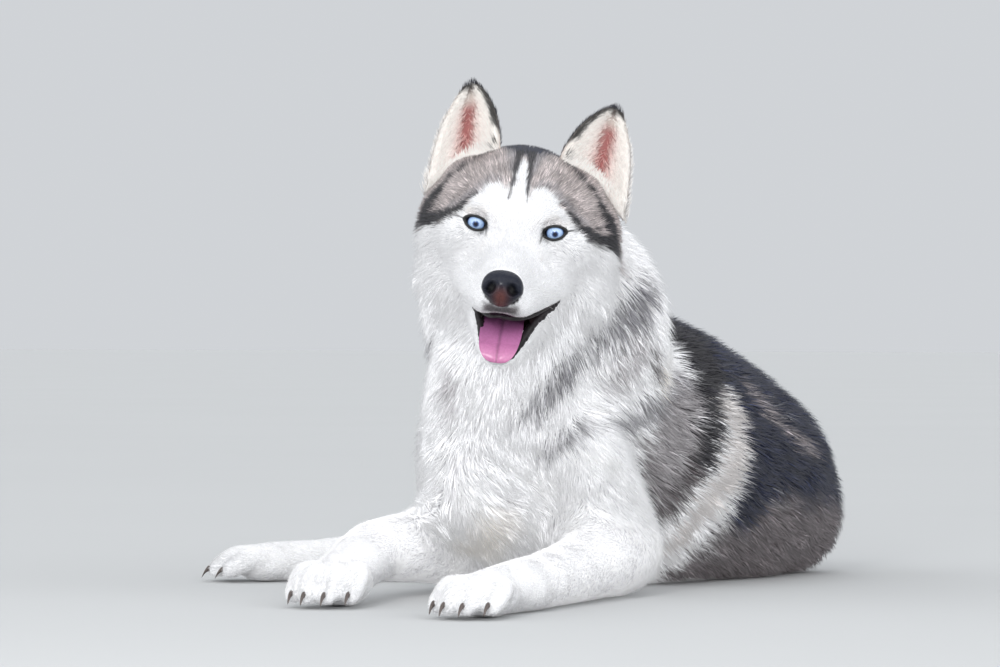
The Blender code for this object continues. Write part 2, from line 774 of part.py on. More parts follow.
def ear_sheets(side):
    """The cupped front and rounded back of one ear, as grids from its base to its tip."""
    rows = 8
    columns = 7
    front = []
    back = []
    for i in range(rows):
        v = -0.12 + 1.12 * i / (rows - 1)
        rise = max(v, 0.0)
        bulge = math.sin(math.pi * rise**1.15) ** 0.8
        tip = EAR_TIP_HALF * rise**3
        drift = (EAR_DRIFT + Vector((0, 0, -side * EAR_LEAN))) * (0.25 + 0.75 * rise)
        inner = EAR_BASE_IN.lerp(EAR_TIP, v) + Vector((-EAR_BULGE_IN * bulge - tip, 0, EAR_BULGE_IN * 0.5 * bulge))
        outer = EAR_BASE_OUT.lerp(EAR_TIP, v) + Vector((EAR_BULGE_OUT * bulge + tip, 0, -0.4 * tip))
        front_row = []
        back_row = []
        for k in range(columns):
            u = -1 + 2 * k / (columns - 1)
            at = inner.lerp(outer, (u + 1) / 2)
            bow = 1 - u * u
            cup = EAR_CUP * bow * (1 - 0.93 * rise**2)
            thick = EAR_THICK * (0.45 + 0.55 * bow) * (1.25 - 0.65 * rise)
            front_row.append(mirror(at + Vector((0, cup, 0)), side) + drift)
            back_row.append(mirror(at + Vector((0, cup + thick, 0)), side) + drift)
        front.append(front_row)
        back.append(back_row)
    return front, back


def mirror(point, side):
    return Vector((point.x * side, point.y, point.z))


def make_head(husky):
    """Head, lower jaw, nose, tongue, ears and eyes."""
    frame = head_matrix()
    bm = bmesh.new()
    head_flesh(bm)
    jaw_flesh(bm)
    tube(bm, NECK[-2:])
    tube(bm, THROAT[:2])
    head = skinned(bm, "head", HEAD_VOXEL, FILLET_HEAD, SOFTEN_HEAD, HEAD_TRIANGLES)
    cheeks(head, surface_of(head))
    slope = math.radians(MOUTH_SLOPE)
    over_jaw = (MOUTH_HINGE, Vector((0, -math.sin(slope), math.cos(slope))))
    jaw = copy_of(head, "jaw")
    boolean(jaw, cell(turned([over_jaw, BEHIND_JAW, UNDER_JAW], frame)), "INTERSECT")
    boolean(head, cell(turned([over_jaw, BEHIND_JAW], frame), GAP), "DIFFERENCE")
    boolean(head, cell(turned([other_side(UNDER_CHEEKS), other_side(BEHIND_JAW)], frame), GAP), "DIFFERENCE")
    boolean(head, cell(turned([BEHIND_HEAD], frame)), "INTERSECT")
    mouth = mouth_hollow(frame)
    boolean(jaw, mouth, "DIFFERENCE", keep_other=True)
    boolean(head, mouth, "DIFFERENCE")
    for side in (1, -1):
        open_eye(head, side, frame)
    largest_only(head)
    largest_only(jaw)
    head_room = swollen(head, GAP)
    jaw_room = swollen(jaw, GAP)
    for side, name in ((1, "ear_left"), (-1, "ear_right")):
        front, back = ear_sheets(side)
        ear = mesh_object(grid_shell(front, back, frame), name)
        boolean(ear, head_room, "DIFFERENCE", keep_other=True)
        keep(ear, name, husky, WHITE)
    nose = mesh_object(nose_form(frame), "nose")
    boolean(nose, head_room, "DIFFERENCE", keep_other=True)
    keep(nose, "nose", husky, NOSE_BLACK, 0.35)
    tongue = mesh_object(tongue_form(frame), "tongue")
    boolean(tongue, jaw_room, "DIFFERENCE")
    boolean(tongue, head_room, "DIFFERENCE")
    keep(tongue, "tongue", husky, PINK, 0.4)
    keep(head, "head", husky, WHITE)
    keep(jaw, "jaw", husky, WHITE)
    for side, name in ((1, "eye_left"), (-1, "eye_right")):
        bm = bmesh.new()
        ball(bm, eye_at(side), (EYE_RADIUS,) * 3, (90, 0, 0), frame, rings=8)
        keep(mesh_object(bm, name), name, husky, BLUE, 0.1)


def eye_at(side):
    return Vector((side * EYE_SPREAD, EYE_BACK, 0))


def open_eye(head, side, frame):
    """Two lids round a socket: a ball over the eye, opened by an almond-shaped cut."""
    at = eye_at(side)
    bm = bmesh.new()
    ball(bm, at, (EYE_RADIUS + LID_THICK,) * 3, (90, 0, 0), frame, rings=12)
    boolean(head, mesh_object(bm, "cutter"), "UNION")
    bm = bmesh.new()
    ball(bm, at + Vector((0, -EYE_RADIUS, 0)), (LID_HALF_WIDTH, 0.0105, LID_HALF_HEIGHT),
         (0, -side * LID_TILT, 0), frame, rings=10)
    boolean(head, mesh_object(bm, "cutter"), "DIFFERENCE")
    bm = bmesh.new()
    ball(bm, at, (EYE_RADIUS + GAP,) * 3, (90, 0, 0), frame, rings=8)
    boolean(head, mesh_object(bm, "cutter"), "DIFFERENCE")


def mouth_hollow(frame):
    """The open space between the lips, closing to nothing at the hinge."""
    bm = bmesh.new()
    loops = []
    for y, half_width, roof, floor in ((0.006, 0.023, -0.0605, -0.0652), (-0.010, 0.0335, -0.061, -0.072),
                                       (-0.035, 0.032, -0.0635, -0.084), (-0.060, 0.026, -0.0655, -0.094),
                                       (-0.120, 0.026, -0.068, -0.100)):
        loop = []
        for angle in range(10, 370, 30):
            x = half_width * math.cos(math.radians(angle))
            high = math.sin(math.radians(angle))
            z = lerp(floor, roof, (high + 1) / 2)
            loop.append(bm.verts.new(frame @ Vector((x, y, z))))
        loops.append(loop)
    for a, b in zip(loops, loops[1:]):
        for k in range(len(a)):
            bm.faces.new((a[k], a[(k + 1) % len(a)], b[(k + 1) % len(a)], b[k]))
    bm.faces.new(loops[0][::-1])
    bm.faces.new(loops[-1])
    bmesh.ops.recalc_face_normals(bm, faces=bm.faces[:])
    bmesh.ops.triangulate(bm, faces=bm.faces[:])
    return mesh_object(bm, "cutter")


def nose_form(frame):
    """The nose leather with its two nostrils."""
    bm = bmesh.new()
    ball(bm, NOSE_AT, NOSE_HALF, (-14, 0, 0), frame, rings=7)
    nose = mesh_object(bm, "nose")
    for side in (1, -1):
        bm = bmesh.new()
        at = NOSE_AT + Vector((side * NOSTRIL_AT[0], NOSTRIL_AT[1], NOSTRIL_AT[2]))
        ball(bm, at, NOSTRIL_HALF, (0, side * 25, 0), frame, rings=5)
        boolean(nose, mesh_object(bm, "cutter"), "DIFFERENCE")
    bm = bmesh.new()
    bm.from_mesh(nose.data)
    bpy.data.objects.remove(nose, do_unlink=True)
    return bm


def tongue_form(frame):
    """The tongue, flat over the lower lip, its sides turned up and a groove along its middle."""
    stations = [(0.000, -0.067, 0.62), (-0.014, -0.0695, 0.88), (-0.034, -0.0775, 1.0), (-0.054, -0.0865, 1.04),
                (-0.069, -0.0965, 1.0), (-0.0745, -0.105, 0.86), (-0.0755, -0.1105, 0.56)]
    top = []
    under = []
    columns = 7
    for y, z, wide in stations:
        top_row = []
        under_row = []
        for k in range(columns):
            u = -1 + 2 * k / (columns - 1)
            x = u * TONGUE_HALF_WIDTH * wide
            groove = 0.0022 * math.exp(-((u / 0.16) ** 2))
            edge = TONGUE_THICK * (1 - 0.75 * u**4)
            rise = 0.0025 * u * u
            top_row.append(Vector((x, y, z + rise - groove)))
            under_row.append(Vector((x, y + 0.35 * edge, z + rise - edge - 0.0005)))
        top.append(top_row)
        under.append(under_row)
    return grid_shell(top, under, frame)


def main():
    """Build every node and set the whole on the floor, centred on the origin."""
    remove_everything()
    husky = bpy.data.collections.new("husky")
    bpy.context.scene.collection.children.link(husky)
    make_body(husky)
    make_feet(husky)
    make_head(husky)
    set_down(husky)


def set_down(husky):
    """Hang the nodes on one stand, so that the middle of their shared box is at the origin, on the floor."""
    nodes = list(husky.objects)
    corners = [v.co for thing in nodes for v in thing.data.vertices]
    low = [min(c[i] for c in corners) for i in range(3)]
    high = [max(c[i] for c in corners) for i in range(3)]
    stand = bpy.data.objects.new("stand", None)
    husky.objects.link(stand)
    stand.location = (-(low[0] + high[0]) / 2, -(low[1] + high[1]) / 2, -low[2])
    for thing in nodes:
        thing.parent = stand


if __name__ == "__main__":
    main()
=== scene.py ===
"""The looks of a life-size still model of a husky that lies on the floor with its head up.

Everything is worked out in the dog's own frame, in metres: its left is +X, it faces -Y, the floor is z = 0 and the
origin is below its withers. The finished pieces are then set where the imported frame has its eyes.
"""

import logging
import math
from dataclasses import dataclass, field
from enum import Enum
from typing import Callable, Iterable, Sequence

import bpy
import numpy as np
from mathutils import Euler, Matrix, Vector
from mathutils.bvhtree import BVHTree


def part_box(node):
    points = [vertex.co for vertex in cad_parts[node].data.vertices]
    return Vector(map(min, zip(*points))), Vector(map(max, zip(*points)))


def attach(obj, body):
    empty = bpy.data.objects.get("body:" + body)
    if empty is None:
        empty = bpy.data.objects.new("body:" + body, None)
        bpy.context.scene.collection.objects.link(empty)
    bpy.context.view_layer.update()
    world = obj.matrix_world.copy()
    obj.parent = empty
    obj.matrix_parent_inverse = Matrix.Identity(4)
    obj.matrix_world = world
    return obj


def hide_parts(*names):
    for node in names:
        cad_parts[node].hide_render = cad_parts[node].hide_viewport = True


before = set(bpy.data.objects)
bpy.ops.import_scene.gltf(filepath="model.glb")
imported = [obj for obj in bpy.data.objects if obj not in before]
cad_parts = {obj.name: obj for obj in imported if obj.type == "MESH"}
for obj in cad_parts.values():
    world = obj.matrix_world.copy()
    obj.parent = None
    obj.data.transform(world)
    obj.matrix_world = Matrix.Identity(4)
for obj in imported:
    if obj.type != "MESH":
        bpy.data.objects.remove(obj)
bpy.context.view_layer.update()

LOG = logging.getLogger("husky")
ROOT_BODY = "root"
SEED = 23
TINT = "tint"
SPOT = "spot"
COAT_UV = "OFBake"

Array = np.ndarray
Station = tuple[float, ...]


# Plain vector work.


def unit(vectors: Array) -> Array:
    """Give every row of an array the length one."""
    return vectors / np.maximum(np.linalg.norm(vectors, axis=-1, keepdims=True), 1e-9)


def dots(a: Array, b: Array) -> Array:
    """Multiply two arrays of vectors row by row, as a column."""
    return np.sum(a * b, axis=-1, keepdims=True)


def smoothstep(low: float, high: float, value: Array) -> Array:
    """Rise smoothly from 0 at low to 1 at high."""
    t = np.clip((value - low) / (high - low), 0, 1)
    return t * t * (3 - 2 * t)


def waves(points: Array, size: float, seed: int, count: int = 7) -> Array:
    """Smooth seeded noise in space.

    Args:
        points: Places, one a row.
        size: Metres from crest to crest.
        seed: Which of the many patterns.
        count: How many waves are added up.

    Returns:
        One value a row, mostly between -1 and 1.
    """
    chance = np.random.default_rng(seed)
    ways = unit(chance.normal(size=(count, 3))) * chance.uniform(0.7, 1.5, (count, 1))
    phases = chance.uniform(0, 2 * math.pi, count)
    return np.sin(points @ ways.T * (2 * math.pi / size) + phases).sum(axis=1) / math.sqrt(count)


def matrix_of(turn: Sequence[float], at: Sequence[float] = (0, 0, 0)) -> Matrix:
    """Make a frame from turns in degrees and a place."""
    return Matrix.Translation(at) @ Euler([math.radians(a) for a in turn]).to_matrix().to_4x4()


def carried(points: Array, matrix: Matrix) -> Array:
    """Carry points, one a row, by a matrix."""
    table = np.array(matrix)
    return points @ table[:3, :3].T + table[:3, 3]


def catmull(stations: Array, steps: int) -> Array:
    """Run a smooth curve through the rows of an array.

    Args:
        stations: One station a row, with any number of columns.
        steps: How many steps are made between two stations.

    Returns:
        The stations and the steps between them.
    """
    padded = np.vstack([stations[:1], stations, stations[-1:]])
    rows = []
    for i in range(len(stations) - 1):
        a, b, c, d = padded[i:i + 4]
        for k in range(steps):
            t = k / steps
            rows.append(0.5 * (2 * b + (c - a) * t + (2 * a - 5 * b + 4 * c - d) * t**2
                               + (3 * b - a - 3 * c + d) * t**3))
    rows.append(stations[-1])
    return np.array(rows)


# The dog's measures, the same as the frame's.

MUZZLE_DRIFT = Matrix(((1, -0.045, 0, 0), (0, 1, 0, 0), (0, 0, 1, 0), (0, 0, 0, 1)))
HEAD_FRAME = matrix_of((10.6, 7.5, 29.7), (0.090, -0.157, 0.329)) @ MUZZLE_DRIFT
EYE_SPREAD = 0.0345
EYE_BACK = 0.0015
EYE_RADIUS = 0.011
LID_THICK = 0.0015

TORSO = (
    (0.000, -0.085, 0.122, 0.056, 0.080), (0.000, -0.040, 0.126, 0.086, 0.108), (0.000, 0.030, 0.132, 0.098, 0.132),
    (0.000, 0.100, 0.132, 0.104, 0.134), (0.004, 0.170, 0.125, 0.107, 0.130), (0.010, 0.240, 0.110, 0.104, 0.118),
    (0.018, 0.300, 0.094, 0.096, 0.105), (0.024, 0.345, 0.081, 0.083, 0.094), (0.028, 0.382, 0.066, 0.061, 0.072),
)
NECK = (
    (0.000, 0.045, 0.140, 0.100, 0.093), (0.006, 0.020, 0.205, 0.107, 0.093), (0.020, -0.020, 0.268, 0.109, 0.089),
    (0.040, -0.056, 0.312, 0.080, 0.070),
)
THROAT = ((0.056, -0.092, 0.262, 0.054), (0.030, -0.084, 0.212, 0.066), (0.010, -0.070, 0.165, 0.070))
LEFT_FORELEG = ((0.070, -0.030, 0.124, 0.047), (0.088, 0.008, 0.041, 0.041), (0.113, -0.095, 0.030, 0.0305),
                (0.137, -0.195, 0.024, 0.0245))
RIGHT_FORELEG = ((-0.062, -0.030, 0.124, 0.046), (-0.080, 0.010, 0.042, 0.042), (-0.070, -0.080, 0.044, 0.035),
                 (-0.055, -0.172, 0.044, 0.028))
LEFT_HIND = ((-0.012, 0.262, 0.052, 0.054), (-0.062, 0.160, 0.046, 0.049), (-0.130, 0.105, 0.030, 0.032),
             (-0.195, 0.058, 0.021, 0.0225))
RIGHT_HIND = ((-0.036, 0.286, 0.100, 0.060), (-0.104, 0.188, 0.100, 0.056), (-0.156, 0.150, 0.058, 0.034),
              (-0.205, 0.118, 0.023, 0.024))
TAIL = ((0.026, 0.380, 0.078, 0.030), (-0.006, 0.430, 0.055, 0.035), (-0.062, 0.472, 0.041, 0.041),
        (-0.145, 0.490, 0.040, 0.042), (-0.222, 0.468, 0.035, 0.035), (-0.272, 0.430, 0.025, 0.018))
LEGS = (LEFT_FORELEG, RIGHT_FORELEG, LEFT_HIND, RIGHT_HIND)
MUZZLE = ((0, 0.020, -0.026, 0.034), (0, -0.024, -0.032, 0.027), (0, -0.058, -0.040, 0.0235),
          (0, -0.073, -0.044, 0.0205))
LIP = ((0.038, 0.016, -0.044, 0.022), (0.027, -0.028, -0.048, 0.0175), (0.0145, -0.068, -0.053, 0.0145))
JAW = ((0, 0.044, -0.078, 0.044, 0.044), (0, 0.002, -0.085, 0.036, 0.027), (0, -0.036, -0.098, 0.0235, 0.0165),
       (0, -0.056, -0.1045, 0.0165, 0.0115))
HOLLOW = ((0.006, 0.023, -0.0605, -0.0640), (-0.010, 0.0335, -0.061, -0.0690), (-0.035, 0.0305, -0.0635, -0.0755),
          (-0.060, 0.0232, -0.0655, -0.0915), (-0.120, 0.0232, -0.068, -0.100))


@dataclass(frozen=True)
class FootPlan:
    """The measures of one foot below its wrist or hock."""

    name: str
    leg: tuple[Station, ...]
    turn: float
    length: float
    half_width: float
    height: float

    def matrix(self) -> Matrix:
        """Give the foot's frame, on the floor, with -y along the foot."""
        x, y, _, _ = self.leg[-1]
        return matrix_of((0, 0, self.turn), (x, y, 0))

    def toes(self) -> list[tuple[float, float]]:
        """Give each toe's place across the foot and how far ahead its tip is."""
        return [(x * self.half_width, self.length - 0.011 - back)
                for x, back in ((-0.74, 0.013), (-0.26, 0.0), (0.26, 0.0), (0.74, 0.013))]


FEET = (
    FootPlan("forepaw_left", LEFT_FORELEG, 7.4, 0.146, 0.033, 0.040),
    FootPlan("forepaw_right", RIGHT_FORELEG, 16.0, 0.140, 0.034, 0.046),
    FootPlan("hindfoot_left", LEFT_HIND, -51.5, 0.190, 0.031, 0.038),
    FootPlan("hindfoot_right", RIGHT_HIND, -57.0, 0.165, 0.030, 0.038),
)


# Meshes.


class Clay:
    """Closed lumps that are gathered up to be wrapped in one skin."""

    def __init__(self) -> None:
        """Start with nothing."""
        self.points: list[Array] = []
        self.faces: list[tuple[int, ...]] = []
        self.count = 0

    def loft(self, loops: Array) -> None:
        """Join closed loops of points one after another and close both ends.

        Args:
            loops: Points by loop, by place round the loop.
        """
        rows, sides = loops.shape[:2]
        at = self.count + np.arange(rows * sides).reshape(rows, sides)
        nearby = np.roll(at, -1, axis=1)
        quads = np.stack([at[:-1], nearby[:-1], nearby[1:], at[1:]], axis=-1).reshape(-1, 4)
        self.faces += [tuple(q) for q in quads.tolist()]
        self.faces += [tuple(at[0][::-1].tolist()), tuple(at[-1].tolist())]
        self.points.append(loops.reshape(-1, 3))
        self.count += rows * sides

    def ball(self, centre: Sequence[float], radii: Sequence[float], turn: Sequence[float] = (0, 0, 0),
             place: Matrix = Matrix.Identity(4), rings: int = 18) -> None:
        """Add an ellipsoid.

        Args:
            centre: Its middle.
            radii: Its half-sizes.
            turn: Its turn in degrees.
            place: The frame of the centre and the turn.
            rings: Steps from pole to pole.
        """
        polar = np.linspace(0.06, math.pi - 0.06, rings)[:, None]
        round_it = np.linspace(0, 2 * math.pi, 2 * rings, endpoint=False)[None, :]
        loops = np.stack([np.sin(polar) * np.cos(round_it), np.sin(polar) * np.sin(round_it),
                          np.cos(polar) * np.ones_like(round_it)], axis=-1)[:, ::-1] * np.array(radii)
        self.loft(carried(loops.reshape(-1, 3), place @ matrix_of(turn, centre)).reshape(loops.shape))

    def tube(self, stations: Sequence[Station], place: Matrix = Matrix.Identity(4), sides: int = 28,
             steps: int = 6) -> None:
        """Add a limb with a round or oval section and rounded ends.

        Args:
            stations: Middles with a radius, or with a half-width and a half-height.
            place: Their frame.
            sides: Points round the limb.
            steps: Steps between two stations.
        """
        table = np.array([(*s[:3], s[3], s[-1]) for s in stations], float)
        rings = catmull(table, steps)
        middles = rings[:, :3]
        ahead = unit(np.gradient(middles, axis=0))
        side, up = square_to(ahead)
        angles = np.linspace(0, 2 * math.pi, sides, endpoint=False)
        loops = (middles[:, None] + side[:, None] * (np.cos(angles)[None, :, None] * rings[:, 3, None, None])
                 + up[:, None] * (np.sin(angles)[None, :, None] * rings[:, 4, None, None]))
        self.loft(carried(loops.reshape(-1, 3), place).reshape(loops.shape))
        for x, y, z, width, height in (table[0], table[-1]):
            self.ball((x, y, z), (width * 0.98, min(width, height) * 0.98, height * 0.98), place=place)

    def mesh_object(self, name: str) -> bpy.types.Object:
        """Make the lumps one mesh object."""
        return new_object(name, np.vstack(self.points), self.faces)


def square_to(ahead: Array) -> tuple[Array, Array]:
    """Find two unit vectors square to each direction, the second as upright as it can be."""
    upright = np.abs(ahead[:, 2:3]) < 0.9
    helper = np.where(upright, np.array([[0.0, 0, 1]]), np.array([[0.0, -1, 0]]))
    side = unit(np.cross(ahead, helper))
    return side, unit(np.cross(side, ahead))


def new_object(name: str, points: Array, faces: Iterable[Sequence[int]]) -> bpy.types.Object:
    """Make a mesh object from points and faces, in the scene."""
    mesh = bpy.data.meshes.new(name)
    mesh.from_pydata(points.tolist(), [], [tuple(f) for f in faces])
    made = bpy.data.objects.new(name, mesh)
    bpy.context.scene.collection.objects.link(made)
    return made


def triangle_object(name: str, points: Array, triangles: Array) -> bpy.types.Object:
    """Make a mesh object from many triangles at once."""
    mesh = bpy.data.meshes.new(name)
    mesh.vertices.add(len(points))
    mesh.vertices.foreach_set("co", points.astype(np.float32).ravel())
    mesh.loops.add(triangles.size)
    mesh.loops.foreach_set("vertex_index", triangles.astype(np.int32).ravel())
    mesh.polygons.add(len(triangles))
    mesh.polygons.foreach_set("loop_start", np.arange(0, triangles.size, 3, dtype=np.int32))
    mesh.update(calc_edges=True)
    made = bpy.data.objects.new(name, mesh)
    bpy.context.scene.collection.objects.link(made)
    return made


def applied(thing: bpy.types.Object) -> bpy.types.Object:
    """Make an object's modifiers real."""
    graph = bpy.context.evaluated_depsgraph_get()
    old = thing.data
    mesh = bpy.data.meshes.new_from_object(thing.evaluated_get(graph))
    thing.modifiers.clear()
    thing.data = mesh
    bpy.data.meshes.remove(old)
    return thing


def wrap(thing: bpy.types.Object, voxel: float, softening: int) -> None:
    """Put one even closed surface round a mesh and smooth it that many times."""
    remesh = thing.modifiers.new("skin", "REMESH")
    remesh.mode = "VOXEL"
    remesh.voxel_size = voxel
    smooth = thing.modifiers.new("soften", "SMOOTH")
    smooth.factor = 0.5
    smooth.iterations = softening


def grow(thing: bpy.types.Object, by: float) -> None:
    """Move a surface out along its normals."""
    move = thing.modifiers.new("grow", "DISPLACE")
    move.mid_level = 0.0
    move.strength = by


def fleshed(clay: Clay, name: str, voxel: float, fillet: float, softening: int) -> bpy.types.Object:
    """Wrap clay in one smooth closed surface.

    Args:
        clay: The lumps.
        name: The object's name.
        voxel: The size of the surface's faces.
        fillet: How wide a crease is filled.
        softening: How many times the surface is smoothed at the end.

    Returns:
        The wrapped object.
    """
    thing = clay.mesh_object(name)
    wrap(thing, voxel, 2)
    if fillet > 0:
        grow(thing, fillet)
        wrap(thing, voxel, 5)
        grow(thing, -fillet)
    wrap(thing, voxel, softening)
    return applied(thing)


def cut(thing: bpy.types.Object, cutter: bpy.types.Object) -> None:
    """Take one closed mesh out of another and remove the cutter."""
    step = thing.modifiers.new("cut", "BOOLEAN")
    step.operation = "DIFFERENCE"
    step.solver = "MANIFOLD"
    step.object = cutter
    applied(thing)
    bpy.data.objects.remove(cutter, do_unlink=True)


def points_of(thing: bpy.types.Object) -> Array:
    """Read an object's vertices."""
    values = np.empty(len(thing.data.vertices) * 3, np.float32)
    thing.data.vertices.foreach_get("co", values)
    return values.reshape(-1, 3).astype(float)


def set_points(thing: bpy.types.Object, points: Array) -> None:
    """Move an object's vertices."""
    thing.data.vertices.foreach_set("co", points.astype(np.float32).ravel())
    thing.data.update()


def normals_of(thing: bpy.types.Object) -> Array:
    """Read an object's vertex normals."""
    values = np.empty(len(thing.data.vertices) * 3, np.float32)
    thing.data.vertex_normals.foreach_get("vector", values)
    return values.reshape(-1, 3).astype(float)


def triangles_of(thing: bpy.types.Object) -> Array:
    """Read an object's triangles as rows of three vertex numbers."""
    thing.data.calc_loop_triangles()
    values = np.empty(len(thing.data.loop_triangles) * 3, np.int32)
    thing.data.loop_triangles.foreach_get("vertices", values)
    return values.reshape(-1, 3)


def paint(thing: bpy.types.Object, name: str, colours: Array) -> None:
    """Keep a colour for every vertex of an object under a name."""
    layer = thing.data.color_attributes.new(name, "FLOAT_COLOR", "POINT")
    full = np.ones((len(colours), 4), np.float32)
    full[:, :3] = colours
    layer.data.foreach_set("color", full.ravel())


def smooth_shaded(thing: bpy.types.Object) -> bpy.types.Object:
    """Shade an object as one smooth surface."""
    thing.data.polygons.foreach_set("use_smooth", np.ones(len(thing.data.polygons), bool))
    thing.data.update()
    return thing


def swept(name: str, middles: Array, radii: Array, sides: int = 10, flat: float = 1.0,
          facing: Array | None = None, closed: bool = False) -> bpy.types.Object:
    """Make a round or flattened cord along a path.

    Args:
        name: The object's name.
        middles: The path.
        radii: Its radius at each place.
        sides: Points round it.
        flat: Its thickness over its width.
        facing: The way out of its flat side at each place.
        closed: Whether the path closes on itself.

    Returns:
        The cord.
    """
    if closed:
        ahead = unit(np.roll(middles, -1, axis=0) - np.roll(middles, 1, axis=0))
    else:
        ahead = unit(np.gradient(middles, axis=0))
    if facing is None:
        side, up = square_to(ahead)
    else:
        side = unit(np.cross(ahead, facing))
        up = unit(np.cross(side, ahead))
    angles = np.linspace(0, 2 * math.pi, sides, endpoint=False)
    loops = (middles[:, None] + side[:, None] * (np.cos(angles)[None, :, None] * radii[:, None, None])
             + up[:, None] * (np.sin(angles)[None, :, None] * radii[:, None, None] * flat))
    if not closed:
        clay = Clay()
        clay.loft(loops)
        return smooth_shaded(clay.mesh_object(name))
    rows = len(middles)
    at = np.arange(rows * sides).reshape(rows, sides)
    below = np.roll(at, -1, axis=0)
    quads = np.stack([at, np.roll(at, -1, axis=1), np.roll(below, -1, axis=1), below], axis=-1).reshape(-1, 4)
    return smooth_shaded(new_object(name, loops.reshape(-1, 3), quads.tolist()))


# Shaders.


class Signal:
    """A number that a shader's nodes pass on, with plain arithmetic."""

    def __init__(self, tree: bpy.types.NodeTree, socket: bpy.types.NodeSocket) -> None:
        """Hold an output socket of a node tree."""
        self.tree = tree
        self.socket = socket

    def _math(self, operation: str, first: object, second: object) -> "Signal":
        """Add one Math node.

        Args:
            operation: The node's operation.
            first: A signal or a number.
            second: A signal or a number.

        Returns:
            The node's value.
        """
        node = self.tree.nodes.new("ShaderNodeMath")
        node.operation = operation
        for socket, value in zip(node.inputs, (first, second)):
            if isinstance(value, Signal):
                self.tree.links.new(value.socket, socket)
            else:
                socket.default_value = float(value)
        return Signal(self.tree, node.outputs[0])

    def __add__(self, other: object) -> "Signal":
        """Add."""
        return self._math("ADD", self, other)

    def __radd__(self, other: object) -> "Signal":
        """Add to a number."""
        return self._math("ADD", other, self)

    def __sub__(self, other: object) -> "Signal":
        """Subtract."""
        return self._math("SUBTRACT", self, other)

    def __rsub__(self, other: object) -> "Signal":
        """Subtract from a number."""
        return self._math("SUBTRACT", other, self)

    def __mul__(self, other: object) -> "Signal":
        """Multiply."""
        return self._math("MULTIPLY", self, other)

    def __rmul__(self, other: object) -> "Signal":
        """Multiply a number."""
        return self._math("MULTIPLY", other, self)


class Finish:
    """A material in the making, with one Principled shader."""

    def __init__(self, name: str, roughness: float, **constants: float) -> None:
        """Start a material.

        Args:
            name: The material's name.
            roughness: How rough it is.
            constants: Other values of the shader, by socket name with _ for a space.
        """
        self.material = bpy.data.materials.new(name)
        self.material.use_nodes = True
        self.tree = self.material.node_tree
        self.shader = self.tree.nodes["Principled BSDF"]
        self.shader.inputs["Roughness"].default_value = roughness
        for socket, value in constants.items():
            self.shader.inputs[socket.replace("_", " ")].default_value = value

    def node(self, kind: str, settings: dict[str, object] | None = None,
             inputs: dict[object, object] | None = None) -> bpy.types.Node:
        """Add a node.

        Args:
            kind: The node's type without its common first word.
            settings: The node's own settings, and a ramp's stops under the key stops.
            inputs: Values, signals or sockets for its inputs.

        Returns:
            The node.
        """
        made = self.tree.nodes.new("ShaderNode" + kind)
        for key, value in (settings or {}).items():
            if key == "stops":
                self._stops(made, value)
            else:
                setattr(made, key, value)
        for key, value in (inputs or {}).items():
            self.feed(made.inputs[key], value)
        return made

    def _stops(self, ramp: bpy.types.Node, stops: Sequence[tuple[float, Sequence[float]]]) -> None:
        """Set a ramp's stops, each a place and a colour."""
        elements = ramp.color_ramp.elements
        while len(elements) < len(stops):
            elements.new(0.5)
        for element, (place, colour) in zip(elements, stops):
            element.position = place
            element.color = (*colour, 1)

    def feed(self, socket: bpy.types.NodeSocket, value: object) -> None:
        """Link a socket to a signal or another socket, or set its value."""
        if isinstance(value, Signal):
            self.tree.links.new(value.socket, socket)
        elif isinstance(value, bpy.types.NodeSocket):
            self.tree.links.new(value, socket)
        elif isinstance(value, (tuple, list)) and len(value) == 3 and socket.type == "RGBA":
            socket.default_value = (*value, 1)
        else:
            socket.default_value = value

    def signal(self, node: bpy.types.Node, output: object = 0) -> Signal:
        """Take a node's output as a number."""
        return Signal(self.tree, node.outputs[output])

    def place(self) -> bpy.types.NodeSocket:
        """Give the place on the object."""
        return self.node("TexCoord").outputs["Object"]

    def noise(self, scale: float, detail: float = 2.0, stretch: tuple[float, float, float] = (1, 1, 1)) -> Signal:
        """Give smooth noise of that many waves a metre.

        Args:
            scale: Waves a metre.
            detail: Finer layers on top.
            stretch: How much closer the waves are along x, y and z.

        Returns:
            Noise from 0 to 1.
        """
        mapping = self.node("Mapping", inputs={"Vector": self.place(), "Scale": stretch})
        made = self.node("TexNoise", inputs={"Vector": mapping.outputs[0], "Scale": scale, "Detail": detail})
        return self.signal(made, "Fac" if "Fac" in made.outputs else 0)

    def mix(self, factor: object, first: object, second: object, blend: str = "MIX") -> bpy.types.NodeSocket:
        """Mix two colours.

        Args:
            factor: How much of the second.
            first: A colour or a socket.
            second: A colour or a socket.
            blend: The way they mix.

        Returns:
            The mixed colour.
        """
        made = self.node("Mix", {"data_type": "RGBA", "blend_type": blend})
        self.feed(made.inputs[0], factor)
        self.feed(made.inputs[6], first)
        self.feed(made.inputs[7], second)
        return made.outputs[2]

    def attribute(self, name: str) -> bpy.types.Node:
        """Read a value kept on the mesh."""
        return self.node("Attribute", {"attribute_name": name})

    def coloured(self, colour: object) -> "Finish":
        """Set or link the base colour."""
        self.feed(self.shader.inputs["Base Color"], colour)
        return self

    def rough(self, value: Signal) -> "Finish":
        """Link the roughness."""
        self.feed(self.shader.inputs["Roughness"], value)
        return self

    def bumped(self, height: Signal, distance: float, strength: float = 1.0) -> "Finish":
        """Raise the surface by a height that varies."""
        bump = self.node("Bump", inputs={"Height": height, "Distance": distance, "Strength": strength})
        self.feed(self.shader.inputs["Normal"], bump.outputs[0])
        return self


